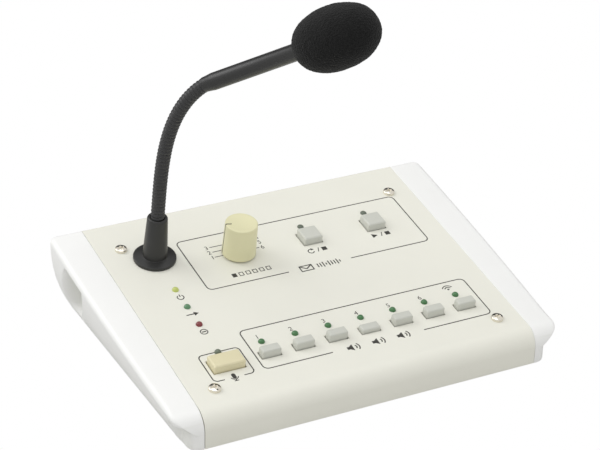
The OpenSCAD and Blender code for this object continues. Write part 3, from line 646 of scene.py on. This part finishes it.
def pan_heads(places):
    """Heads as heights over rings: a low round dome with a rounded edge, lowered inside a cross with
    sloping walls."""
    edge_turn = np.radians(np.linspace(0.0, 90.0, 8))
    ring = np.concatenate((np.linspace(0.0, head_r - head_edge - 0.1, 28),
                           head_r - head_edge + head_edge * np.sin(edge_turn)))
    angle = np.linspace(0.0, 2.0 * math.pi, 96, endpoint=False)
    r, a = np.meshgrid(ring, angle, indexing="ij")
    x = r * np.cos(a)
    y = r * np.sin(a)
    dome = head_h - head_rise * (r / head_r) ** 2 - corner_retreat(r - head_r + head_edge, head_edge)
    arm = np.minimum(np.maximum(np.abs(x) / recess_reach, np.abs(y) / recess_half),
                     np.maximum(np.abs(y) / recess_reach, np.abs(x) / recess_half))
    height = dome - recess_depth * (1.0 - smooth_step(arm, *recess_slope))
    head = np.stack((x, y, height), axis=-1)
    rim = np.stack((x[-1:], y[-1:], np.zeros_like(x[-1:])), axis=-1)
    head = np.concatenate((head, rim, rim * 0.0))
    return [on_panel(head, u, d) for u, d in places]


bright_steel = finish("bright_steel", (234, 228, 214), 0.14, grain=0.2, relief=0.004, mottle=0.03,
                      metallic=1.0)
for number, head in enumerate(pan_heads(screw_places)):
    screw = surface("cover_screw_%d" % (number + 1), head, wrap_columns=True, sharp=50.0)
    dress(screw, bright_steel, "case", "cover_screws", *(["cover_screws"] if number == 0 else []))

# Panel print
# Dark grey screen ink on the paint: three frames, the dial's leader lines and plain numbers.
# Small signs stand where the controls are marked: each is a filled shape or a line of even width.
ink_t = 0.03
ink_gap = 0.005
line_w = 0.55
ink_points = []
ink_faces = []
ink_count = 0


def add_ink(points, faces):
    """Adds a flat shape, as places u and v up the slope, to the print."""
    global ink_count
    ink_points.append(np.asarray(points, dtype=float))
    ink_faces.extend([tuple(int(i) + ink_count for i in face) for face in faces])
    ink_count += len(points)


def ink_line(path, width=line_w, closed=False):
    """A line of even width: its two edges lie half the width to either side of the path."""
    path = np.asarray(path, dtype=float)
    ahead = np.roll(path, -1, axis=0) - path
    behind = path - np.roll(path, 1, axis=0)
    if not closed:
        ahead[-1] = behind[-1]
        behind[0] = ahead[0]
    ahead = unit(ahead)
    along = unit(ahead + unit(behind))
    spread = 1.0 / np.maximum(np.sum(along * ahead, axis=1, keepdims=True), 0.5)
    across = np.column_stack((-along[:, 1], along[:, 0])) * spread * width / 2
    count = len(path)
    near = np.arange(count if closed else count - 1)
    far = (near + 1) % count
    faces = np.column_stack((near, far, far + count, near + count))
    add_ink(np.vstack((path - across, path + across)), faces)


def ink_fill(points):
    """A filled outline, given against the clock."""
    add_ink(points, [range(len(points))])


def ring_path(r, start, stop, steps):
    """Points on an arc about the middle, angles in degrees from the right."""
    angle = np.radians(np.linspace(start, stop, steps))
    return np.column_stack((r * np.cos(angle), r * np.sin(angle)))


def frame_path(left, right, top, low, r, gap):
    """Round-cornered frame that starts and ends at a gap in its lower edge."""
    corners = ((right - r, low + r, -90.0), (right - r, top - r, 0.0),
               (left + r, top - r, 90.0), (left + r, low + r, 180.0))
    turns = [ring_path(r, a, a + 90.0, 9) + np.array((x, y)) for x, y, a in corners]
    return np.vstack(([[gap[1], low]], *turns, [[gap[0], low]]))


def ink_number(text, place, height):
    """A plain numeral: Blender's own font, filled and scaled to the height."""
    curve = bpy.data.curves.new("numeral", "FONT")
    curve.body = text
    curve.align_x = "CENTER"
    curve.align_y = "CENTER"
    holder = add_object("numeral", curve)
    shape = bpy.data.meshes.new_from_object(holder.evaluated_get(bpy.context.evaluated_depsgraph_get()))
    points = mesh_points(shape)[:, :2]
    middle = (points.min(axis=0) + points.max(axis=0)) / 2
    scale = height / np.ptp(points[:, 1])
    add_ink((points - middle) * scale + np.array(place), [tuple(p.vertices) for p in shape.polygons])
    bpy.data.objects.remove(holder)
    bpy.data.curves.remove(curve)
    bpy.data.meshes.remove(shape)


ink_line(frame_path(left=-46.55, right=73.45, top=-24.8, low=-63.9, r=2.6, gap=(-4.3, 29.6)))
ink_line(frame_path(left=-46.55, right=73.45, top=-96.4, low=-124.6, r=2.6, gap=(-11.9, 36.3)))
ink_line(frame_path(left=-71.65, right=-51.45, top=-106.2, low=-124.9, r=2.2, gap=(-66.6, -56.9)))
selector_u = -20.9
selector_d = 42.3
dial_marks = ((-13.3, 0.8), (-13.4, 4.8), (-13.3, 8.6), (13.6, 8.6), (13.4, 4.8), (13.2, 0.8))
numeral_h = 2.7
leader_w = 0.45
leader_r = 7.8
leader_inmost = 3.4
leader_gap = 1.7
first_leader_gap = 1.0
for number, (du, dv) in enumerate(dial_marks):
    ink_number(str(number + 1), (selector_u + du, dv - selector_d), numeral_h)
    inner = math.copysign(max(math.sqrt(max(leader_r ** 2 - dv ** 2, 0.0)), leader_inmost), du)
    outer = du - math.copysign(first_leader_gap if number == 0 else leader_gap, du)
    ink_line(((selector_u + outer, dv - selector_d), (selector_u + inner, dv - selector_d)), leader_w)
zone_number_shift = 0.4
zone_number_v = -102.7
for number, u in enumerate(zone_u[:6]):
    ink_number(str(number + 1), (u - zone_number_shift, zone_number_v), numeral_h)

# Signs for all zones, power, sending, busy and the bank of six messages
sign_w = 0.5
thin_w = 0.42
bold_w = 0.6
busy_w = 0.7
all_sign = np.array((62.6, -101.8))
ink_fill(all_sign + ring_path(0.55, 0.0, 330.0, 12))
for r in (1.6, 2.8):
    ink_line(all_sign + ring_path(r, 25.0, 155.0, 14), sign_w)
power_sign = np.array((-61.3, -64.3))
ink_line(power_sign + ring_path(1.6, 125.0, 415.0, 24), sign_w)
ink_line(power_sign + np.array(((0.0, 0.4), (0.0, 2.1))), sign_w)
send_sign = np.array((-61.2, -77.6))
ink_line(send_sign + np.array(((-3.0, 0.0), (1.0, 0.0))), bold_w)
ink_fill(send_sign + np.array(((0.9, -1.4), (3.2, 0.0), (0.9, 1.4))))
busy_sign = np.array((-61.4, -91.1))
ink_line(busy_sign + ring_path(1.7, 0.0, 360.0, 33)[:-1], sign_w, closed=True)
ink_line(busy_sign + np.array(((-1.0, 0.0), (1.0, 0.0))), busy_w)
bank_sign = np.array((-21.2, -57.6))
bank_half = 9.0
slot_pitch = 3.6
slot_box = np.array(((-1.0, -1.2), (1.0, -1.2), (1.0, 1.2), (-1.0, 1.2)))
full_slot = 1.15
ink_fill(bank_sign + slot_box * full_slot - np.array((bank_half, 0.0)))
for slot in range(1, 6):
    slot_place = np.array((slot_pitch * slot - bank_half, 0.0))
    ink_line(bank_sign + slot_box + slot_place, thin_w, closed=True)

# Signs for repeat, start and stop: a round arrow, an arrow head and a block after a stroke
repeat_sign = np.array((13.4, -52.6))
ink_line(repeat_sign + ring_path(1.5, 60.0, 340.0, 24), sign_w)
ink_fill(repeat_sign + np.array(((0.2, 0.6), (2.0, 1.0), (0.6, 2.3))))
start_sign = np.array((49.2, -51.6))
ink_fill(start_sign + np.array(((-1.3, -1.6), (1.7, 0.0), (-1.3, 1.6))))
for stop_sign in (repeat_sign, start_sign):
    ink_line(stop_sign + np.array(((3.4, -1.4), (4.6, 1.6))), thin_w)
    ink_fill(stop_sign + np.array(((5.9, -1.3), (8.5, -1.3), (8.5, 1.3), (5.9, 1.3))))

# Signs in the gaps of the frames: a letter and a voice trace, three loudspeakers and a microphone
letter_sign = np.array((5.2, -63.9))
letter_box = np.array(((-3.2, -1.9), (3.2, -1.9), (3.2, 1.9), (-3.2, 1.9)))
ink_line(letter_sign + letter_box, bold_w, closed=True)
ink_line(letter_sign + np.array(((-3.1, 1.8), (0.0, -0.5), (3.1, 1.8))), bold_w)
trace_start = 6.2
trace_pitch = 1.5
for bar in range(9):
    bar_u = trace_start + trace_pitch * bar
    bar_h = 0.7 + 1.3 * abs(math.sin(1.9 * bar + 0.6))
    ink_line(letter_sign + np.array(((bar_u, -bar_h), (bar_u, bar_h))), bold_w)
horn = np.array(((-3.4, -0.9), (-2.1, -0.9), (-0.3, -2.2), (-0.3, 2.2), (-2.1, 0.9), (-3.4, 0.9)))
for speaker_u in (-1.0, 12.2, 25.4):
    speaker_sign = np.array((speaker_u, -124.6))
    ink_fill(speaker_sign + horn)
    for r in (1.5, 2.9):
        ink_line(speaker_sign + ring_path(r, -45.0, 45.0, 11), bold_w)
talk_sign = np.array((-61.7, -124.8))
capsule = np.vstack((ring_path(1.0, 0.0, 180.0, 11) + np.array((0.0, 0.8)),
                     ring_path(1.0, 180.0, 360.0, 11) - np.array((0.0, 0.8))))
ink_fill(talk_sign + capsule + np.array((0.0, 0.8)))
ink_line(talk_sign + ring_path(1.8, 190.0, 350.0, 15) + np.array((0.0, 0.4)), sign_w)
ink_line(talk_sign + np.array(((0.0, -1.4), (0.0, -2.4))), sign_w)
ink_line(talk_sign + np.array(((-1.1, -2.4), (1.1, -2.4))), sign_w)

ink_flat = np.vstack(ink_points)
ink_flat = np.column_stack((ink_flat, np.full(len(ink_flat), ink_t)))
print_mesh = bpy.data.meshes.new("panel_print")
print_mesh.from_pydata(on_panel(ink_flat, 0.0, 0.0) / 1000.0, [], ink_faces)
panel_print = add_object("panel_print", print_mesh)
thicken(panel_print, "layer", ink_t - ink_gap)
screen_ink = finish("screen_ink", (56, 55, 50), 0.6, grain=0.2, relief=0.004, mottle=0.06)
dress(panel_print, screen_ink, "case", "top_cover")

# Lamps
# Round 3 mm lamps of tinted diffused plastic, seated on spacers, their low domes through the panel.
# The power lamp is lit and the others are dark.
lamp_r = 1.65
lamp_h = 1.5
low_lamp_h = 1.0
lamp_seat = 4.0
lamp_rim = (1.9, 1.0)


def spin(profile, steps):
    """Grid of a profile of radius and height turned about the axis."""
    angle = np.linspace(0.0, 2.0 * math.pi, steps, endpoint=False)
    r = profile[:, 0][:, None]
    z = profile[:, 1][:, None] + 0.0 * angle[None, :]
    return np.stack((r * np.cos(angle), r * np.sin(angle), z), axis=-1)


def turned(name, profile, steps, u, d, sharp=40.0):
    """Piece turned from a profile, upright on the panel at the place u, d."""
    return surface(name, on_panel(spin(profile, steps), u, d), wrap_columns=True, sharp=sharp)


def round_path(*points):
    """Profile through points of radius, height and corner radius, with each corner rounded by an arc.
    A corner whose half angle is past straight stays as it is."""
    straight = 1.55
    steps = 6
    points = np.asarray(points, dtype=float)
    path = [points[0, :2]]
    for before, here, after in zip(points[:-2], points[1:-1], points[2:]):
        come = unit((before - here)[:2])
        go = unit((after - here)[:2])
        half = math.acos(float(np.clip(come @ go, -1.0, 1.0))) / 2
        if here[2] <= 0.0 or half > straight:
            path.append(here[:2])
            continue
        reach = here[2] / math.tan(half)
        start = here[:2] + come * reach
        stop = here[:2] + go * reach
        share = np.linspace(0.0, 1.0, steps)[:, None]
        middle = here[:2] + unit(come + go) * here[2] / math.sin(half)
        path.extend(middle + unit(start * (1.0 - share) + stop * share - middle) * here[2])
    path.append(points[-1, :2])
    return np.vstack(path)


def lamp_profile(height):
    """Profile of a lamp: a rim on the spacer, an upright body and a quarter of an ellipse that has
    the height."""
    dome_turn = np.radians(np.linspace(0.0, 90.0, 12))
    dome = np.column_stack((lamp_r * np.cos(dome_turn), height * np.sin(dome_turn)))
    rim_top = lamp_rim[1] - lamp_seat
    body = [[0.0, -lamp_seat], [lamp_rim[0], -lamp_seat], [lamp_rim[0], rim_top], [lamp_r, rim_top]]
    return np.vstack((body, dome))


def lamp_plastic(name, colour, glow=0.0):
    """Tinted plastic with a clear skin, and its own light where the lamp is lit."""
    material = finish(name, colour, 0.3, grain=0.3, relief=0.004, mottle=0.06, coat=0.5)
    light = {"Emission Color": linear(*colour), "Emission Strength": glow}
    set_sockets(material.node_tree.nodes["Principled BSDF"], light)
    return material


status_u = -61.4
status_d = (58.5, 72.05, 85.6)
zone_lamp_d = 106.6
message_lamp_d = 33.1
lamp_rows = (
    ("power_led", [(status_u, status_d[0])], lamp_plastic("lit_lime", (168, 178, 92), glow=0.25)),
    ("send_led", [(status_u, status_d[1])], lamp_plastic("dark_green", (84, 132, 92))),
    ("busy_led", [(status_u, status_d[2])], lamp_plastic("dark_red", (122, 38, 42))),
    ("zone_leds", [(u, zone_lamp_d) for u in zone_u], lamp_plastic("zone_green", (58, 112, 62))),
    ("message_leds", [(u, message_lamp_d) for u in message_u], lamp_plastic("grey_green", (88, 98, 82))),
    ("talk_led", [(talk_u, zone_lamp_d)], lamp_plastic("talk_grey_green", (96, 106, 88))),
)
for lamp_node, places, plastic in lamp_rows:
    profile = lamp_profile(low_lamp_h if lamp_node == "message_leds" else lamp_h)
    for number, (u, d) in enumerate(places):
        lamp = turned("%s_dome_%d" % (lamp_node, number + 1), profile, 36, u, d)
        dress(lamp, plastic, "case", lamp_node, *([lamp_node] if number == 0 else []))

# Buttons
# Moulded caps on the stems of the push switches: grey for the zones and messages, cream for talking.
# The zone caps latch, and the fourth one is pressed in. Each has upright sides and sloped top edges.
cap_h = 3.9
cap_skirt = 1.9
cap_soft = 0.16
cap_corner_r = 0.5
cap_corner_least = 0.3
cap_corner_taper = 0.25
cap_corner_steps = 7
zone_cap_top = (0.45, 0.5)
wide_cap_top = (0.6, 0.55)
zone_travel = 1.7
cap_stem_r = 1.7
cap_stem_end = 5.8


def button_cap(cap, top_slope, top_drop):
    """Rings of a round-cornered rectangle, carried up a profile of inset and height and closed at
    both ends: a round stem, upright sides, a softened edge, a slope and a flat top."""
    soft = cap_soft
    inset_z = np.array((
        (0.0, -cap_skirt), (0.0, cap_h - top_drop - soft), (soft * 0.2, cap_h - top_drop - soft * 0.3),
        (soft * 0.7, cap_h - top_drop + soft * 0.25), (top_slope - soft * 0.8, cap_h - soft * 0.35),
        (top_slope - soft * 0.2, cap_h - soft * 0.08), (top_slope + soft, cap_h)))
    quarters = [np.linspace(start, start + 90.0, cap_corner_steps) for start in (0.0, 90.0, 180.0, 270.0)]
    angle = np.radians(np.concatenate(quarters))
    sign_x = np.repeat((1.0, -1.0, -1.0, 1.0), cap_corner_steps)
    sign_y = np.repeat((1.0, 1.0, -1.0, -1.0), cap_corner_steps)
    inset = inset_z[:, 0][:, None]
    r = np.maximum(cap_corner_r - cap_corner_taper * inset, cap_corner_least)
    x = sign_x * (cap[0] / 2 - inset - r) + r * np.cos(angle)
    y = sign_y * (cap[1] / 2 - inset - r) + r * np.sin(angle)
    rings = np.stack((x, y, inset_z[:, 1][:, None] + 0.0 * x), axis=-1)
    stem_turn = np.arctan2(rings[0, :, 1], rings[0, :, 0])
    stem_x = cap_stem_r * np.cos(stem_turn)
    stem_y = cap_stem_r * np.sin(stem_turn)
    stem = np.stack([np.column_stack((stem_x, stem_y, np.full(len(angle), z)))
                     for z in (-cap_stem_end, -cap_skirt)])
    foot = np.broadcast_to((0.0, 0.0, -cap_stem_end), (1, len(angle), 3))
    crown = np.broadcast_to((0.0, 0.0, cap_h), (1, len(angle), 3))
    return np.concatenate((foot, stem, rings, crown))


def cap_plastic(name, colour):
    """Satin moulded plastic with a fine grain."""
    return finish(name, colour, 0.42, grain=0.25, relief=0.005, mottle=0.012)


grey_cap_plastic = cap_plastic("grey_cap_plastic", (201, 202, 193))
talk_cap_plastic = cap_plastic("talk_cap_plastic", (221, 213, 177))
buttons = [("zone_button_%d" % k, "zone_%d_button_body" % k, zone_u[k - 1], zone_d, zone_cap)
           for k in range(1, 7)]
buttons += [
    ("all_call_button", "all_call_button_body", zone_u[6], zone_d, zone_cap),
    ("repeat_button", "repeat_button_body", message_u[0], message_d, message_cap),
    ("start_button", "start_button_body", message_u[1], message_d, message_cap),
    ("talk_button", "talk_button_body", talk_u, zone_d, talk_cap),
]
for node_name, body_name, u, d, cap in buttons:
    shape = button_cap(cap, *(zone_cap_top if cap == zone_cap else wide_cap_top))
    shape = shape - np.array((0.0, 0.0, zone_travel if node_name == "zone_button_4" else 0.0))
    button = surface(node_name + "_cap", on_panel(shape, u, d), wrap_columns=True, sharp=60.0)
    plastic = talk_cap_plastic if node_name == "talk_button" else grey_cap_plastic
    dress(button, plastic, body_name, node_name, node_name)

# Selector knob
# Cream moulded knob pressed on the selector's shaft, a little above the panel.
# A dark pointer line is let into its top and runs down its side, to the first of six positions.
knob_base_r = 8.4
knob_top_r = 7.9
knob_gap = 0.8
knob_top = 18.3
knob_bore_r = 3.0
knob_bore_top = 14.2
knob_rim_w = 1.3
knob_dish_r = 6.0
pointer_angle = math.radians(170.0)
pointer_w = 0.7
pointer_t = 0.1
pointer_lift = 0.02
pointer_inmost = 4.9
knob_skin = round_path(
    (knob_bore_r, knob_gap, 0.0), (knob_base_r, knob_gap, 0.25),
    (knob_base_r - 0.05, knob_gap + 1.6, 0.0), (knob_top_r, knob_top, 0.55),
    (knob_top_r - knob_rim_w, knob_top, 0.6), (knob_dish_r, knob_top - 0.12, 0.0),
    (0.0, knob_top - 0.18, 0.0))
knob_profile = np.vstack(([[0.0, knob_bore_top], [knob_bore_r, knob_bore_top]], knob_skin))
knob_plastic = finish("knob_plastic", (226, 222, 182), 0.4, grain=0.3, relief=0.005, mottle=0.015,
                      coat=0.05)
knob = turned("selector_knob_turning", knob_profile, 96, selector_u, selector_d, sharp=50.0)
dress(knob, knob_plastic, "selector", "selector_knob", "selector_knob")
on_outside = (knob_skin[:, 1] > knob_gap + 0.2) & (knob_skin[:, 0] > pointer_inmost)
pointer_rows = np.vstack((knob_skin[on_outside], [[pointer_inmost, knob_top - 0.14]]))
pointer_side = np.array((-0.5, 0.5)) * pointer_w
out_x = math.cos(pointer_angle)
out_y = math.sin(pointer_angle)
pointer_r = pointer_rows[:, 0][:, None] + pointer_lift
pointer_z = pointer_rows[:, 1][:, None] + pointer_lift + 0.0 * pointer_side
pointer_grid = np.stack((pointer_r * out_x - pointer_side * out_y,
                         pointer_r * out_y + pointer_side * out_x, pointer_z), axis=-1)
pointer_grid = on_panel(pointer_grid[:, ::-1], selector_u, selector_d)
pointer = surface("selector_pointer", pointer_grid, closed=False)
thicken(pointer, "fill", pointer_t)
pointer_ink = finish("pointer_ink", (74, 72, 62), 0.55, grain=0.2, relief=0.004, mottle=0.08)
dress(pointer, pointer_ink, "selector", "selector_knob")

# Microphone collar
# Turned black collar: a round flange on the panel and a tapered sleeve that holds the gooseneck.
# A nut and washer clamp it from below.
mic_u = -60.9
mic_d = 32.8
flange_r = 10.4
flange_h = 1.6
flange_seat = -0.02
sleeve_foot_r = 5.85
sleeve_foot_z = 2.3
sleeve_top_r = 4.9
sleeve_h = 24.7
neck_r = 3.3
socket_r = neck_r + 0.2
socket_floor = sleeve_h - 5.0
tail_r = 5.0
tail_end = -9.0
collar_profile = round_path(
    (0.0, tail_end, 0.0), (tail_r, tail_end, 0.4), (tail_r, flange_seat, 0.0),
    (flange_r - 0.1, flange_seat, 0.0), (flange_r, 0.3, 0.1), (flange_r, flange_h, 0.4),
    (sleeve_foot_r + 0.2, sleeve_foot_z, 0.3), (sleeve_top_r, sleeve_h, 1.0),
    (socket_r, sleeve_h, 0.2), (socket_r, socket_floor, 0.0), (0.0, socket_floor, 0.0))
collar_black = finish("collar_black", (38, 38, 37), 0.34, grain=0.3, relief=0.008, mottle=0.05)
collar = turned("mic_collar_turning", collar_profile, 96, mic_u, mic_d, sharp=45.0)
dress(collar, collar_black, "case", "mic_collar", "mic_collar")

# Gooseneck
# Wound steel tube with a ridge that runs round it like a thread, painted black, clamped in the collar.
# Each stretch bends with the joint in its middle, and the stretches meet halfway along the links.
neck_turn = math.radians(-43.0)
first_pivot = 27.0
link_len = 10.1
link_count = 8
neck_bend = math.radians(45.0)
bend_power = 2.5
stem_angle = math.radians(55.2)
neck_end = first_pivot + link_count * link_len
rib_pitch = 2.02
rib_depth = 0.5
rib_crest = 0.05
rib_flat = 0.4
rib_rows = 10
neck_insert = 4.5
neck_overrun = 2.2
neck_cos = math.cos(neck_turn)
neck_sin = math.sin(neck_turn)


def neck_line(s):
    """Middle line of the neck at the lengths s, whose angle grows with a power of the length past the
    sleeve. Gives the reach along the bend, the height off the panel and the angle from the sleeve."""
    fine = np.linspace(0.0, neck_end, 4001)
    share = np.clip((fine - sleeve_h) / (neck_end - sleeve_h), 0.0, None)
    angle = neck_bend * share ** bend_power
    step = fine[1] - fine[0]
    reach = np.concatenate(([0.0], np.cumsum(np.sin((angle[:-1] + angle[1:]) / 2) * step)))
    height = np.concatenate(([0.0], np.cumsum(np.cos((angle[:-1] + angle[1:]) / 2) * step)))
    beyond = np.maximum(s - neck_end, 0.0)
    return (np.interp(s, fine, reach) + beyond * math.sin(stem_angle),
            np.interp(s, fine, height) + beyond * math.cos(stem_angle), np.interp(s, fine, angle))


def from_collar(along, across, lift):
    """Points given along the neck's bend, across it and off the panel, turned into the case's frame."""
    x = along * neck_cos - across * neck_sin
    y = along * neck_sin + across * neck_cos
    return on_panel(np.stack((x, y, lift), axis=-1), mic_u, mic_d)


def about_neck(s, r, turn_angle):
    """Points at the radius r round the neck's middle line, in the case's frame."""
    reach, height, angle = neck_line(s)
    along = reach + r * np.cos(turn_angle) * np.cos(angle)
    lift = height - r * np.cos(turn_angle) * np.sin(angle)
    return from_collar(along, r * np.sin(turn_angle), lift)


neck_black = finish("neck_black", (44, 44, 45), 0.42, grain=0.25, relief=0.006, mottle=0.06)
neck_steps = 40
neck_angle = np.linspace(0.0, 2.0 * math.pi, neck_steps, endpoint=False)[None, :]
for joint in range(1, link_count + 2):
    joint_s = first_pivot + (joint - 1) * link_len
    low_s = joint_s - link_len / 2 if joint > 1 else sleeve_h - neck_insert
    high_s = joint_s + link_len / 2 if joint <= link_count else joint_s + neck_overrun
    s = np.linspace(low_s, high_s, int((high_s - low_s) / rib_pitch * rib_rows))[:, None]
    thread = 0.5 - 0.5 * np.cos(2.0 * math.pi * (s / rib_pitch) - neck_angle)
    r = neck_r + rib_crest - rib_depth * (1.0 - thread ** rib_flat)
    tube = about_neck(s + 0.0 * neck_angle, r, neck_angle + 0.0 * s)
    ends = [np.broadcast_to(tube[k].mean(axis=0), tube[k].shape) for k in (0, -1)]
    tube = np.concatenate((ends[0][None], tube, ends[1][None]))
    stretch = surface("gooseneck_stretch_%d" % joint, tube, wrap_columns=True, sharp=60.0)
    stretch.data.materials.append(neck_black)
    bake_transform(stretch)
    if joint == 1:
        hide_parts("gooseneck_root", "gooseneck_link_1")
    elif joint <= link_count:
        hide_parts("gooseneck_link_%d" % joint)

# Microphone stem
# Straight black tube that widens from the gooseneck and ends in the cup that holds the capsule.
# It is turned in one piece and screwed to the end of the neck.
stem_r = 4.0
stem_bore_r = 2.6
stem_foot = -0.6
stem_len = 48.2
cup_r = 5.5
cup_wall = 0.6
cup_depth = 2.0
cup_foot = stem_len + 14.0
cup_top = cup_foot + 13.0
stem_profile = round_path(
    (stem_bore_r, stem_foot, 0.0), (3.45, stem_foot, 0.2), (3.6, 1.4, 1.0), (3.8, 3.0, 1.5),
    (stem_r, 4.4, 2.0), (stem_r, cup_foot, 0.0), (cup_r, cup_foot + 2.0, 0.5), (cup_r, cup_top, 0.2),
    (cup_r - cup_wall, cup_top, 0.2), (cup_r - cup_wall, cup_top - cup_depth, 0.0),
    (stem_bore_r, cup_top - cup_depth, 0.0))


def about_stem(points):
    """Points of the stem's own frame, Z along the stem from the neck's last pivot, turned into the
    case's frame."""
    reach, height = neck_line(np.array(neck_end))[:2]
    x, y, z = np.moveaxis(points, -1, 0)
    along = x * math.cos(stem_angle) + z * math.sin(stem_angle) + reach
    lift = -x * math.sin(stem_angle) + z * math.cos(stem_angle) + height
    return from_collar(along, y, lift)


stem_black = finish("stem_black", (40, 40, 40), 0.32, grain=0.3, relief=0.006, mottle=0.05)
stem_grid = np.concatenate((spin(stem_profile, 64), spin(stem_profile[:1], 64)))
stem = surface("mic_stem_turning", about_stem(stem_grid), wrap_columns=True, sharp=40.0)
dress(stem, stem_black, "mic_head", "mic_stem", "mic_stem")

# Foam windscreen
# Soft black open-cell foam, moulded as an egg with a bore and pushed over the capsule cup.
# Its skin is pitted by the cut cells.
foam_len = 41.6
foam_r = 14.35
egg_flat = 2.25
egg_round = 0.475
pit_cell = 0.55
pit_depth = 0.3
dent_cell = 6.0
dent_depth = 0.35


def lattice_noise(points, cell, seed):
    """Smooth noise from 0 to 1: random values on a cubic lattice, blended inside each cell."""
    count = 64
    values = np.random.default_rng(seed).random((count, count, count))
    scaled = points / cell
    corner = np.floor(scaled).astype(int)
    share = smooth_step(scaled - corner, 0.0, 1.0)
    total = np.zeros(points.shape[:-1])
    for step in np.ndindex(2, 2, 2):
        weight = np.prod(np.abs(1 - np.array(step) - share), axis=-1)
        near = (corner + step) % count
        total += weight * values[near[..., 0], near[..., 1], near[..., 2]]
    return total


foam_share = 0.5 - 0.5 * np.cos(np.linspace(0.0, math.pi, 190))
egg = (1.0 - np.abs(2.0 * foam_share - 1.0) ** egg_flat) ** egg_round
foam_profile = np.column_stack((foam_r * egg, stem_len + foam_len * foam_share))
foam_grid = spin(foam_profile, 260)
foam_middle = np.array((0.0, 0.0, stem_len + foam_len / 2))
pits = lattice_noise(foam_grid, pit_cell, seed=3) - 0.5
dents = lattice_noise(foam_grid, dent_cell, seed=5) - 0.5
outward = foam_grid - foam_middle
outward = outward / np.maximum(np.linalg.norm(outward, axis=-1, keepdims=True), 1e-6)
foam_grid = foam_grid + outward * (pit_depth * pits + dent_depth * dents)[..., None]
foam = surface("windscreen_foam", about_stem(foam_grid), wrap_columns=True, sharp=80.0)


def open_cell_foam(name, colour):
    """Dark foam: a painted highlight makes the cell walls paler and painted shade darkens the pits, which
    also sink into the surface.
    """
    cells_per_metre = 1500.0
    pit_relief = 0.3
    constants = {"Roughness": 0.95, "Specular IOR Level": 0.25, "Sheen Weight": 0.08}
    material = new_material(name, constants)
    cells = pattern_on(material, "ShaderNodeTexVoronoi", {"Scale": cells_per_metre})
    # Painted highlight on the cell walls and painted shade in the pits.
    colour_by(material, cells.outputs["Distance"], colour, dark=(0.05, 0.45), pale=(0.6, 1.5))
    relief_by(material, cells.outputs["Distance"], pit_relief)
    return material


dress(foam, open_cell_foam("windscreen_foam", (19, 19, 19)), "mic_head", "windscreen", "windscreen")
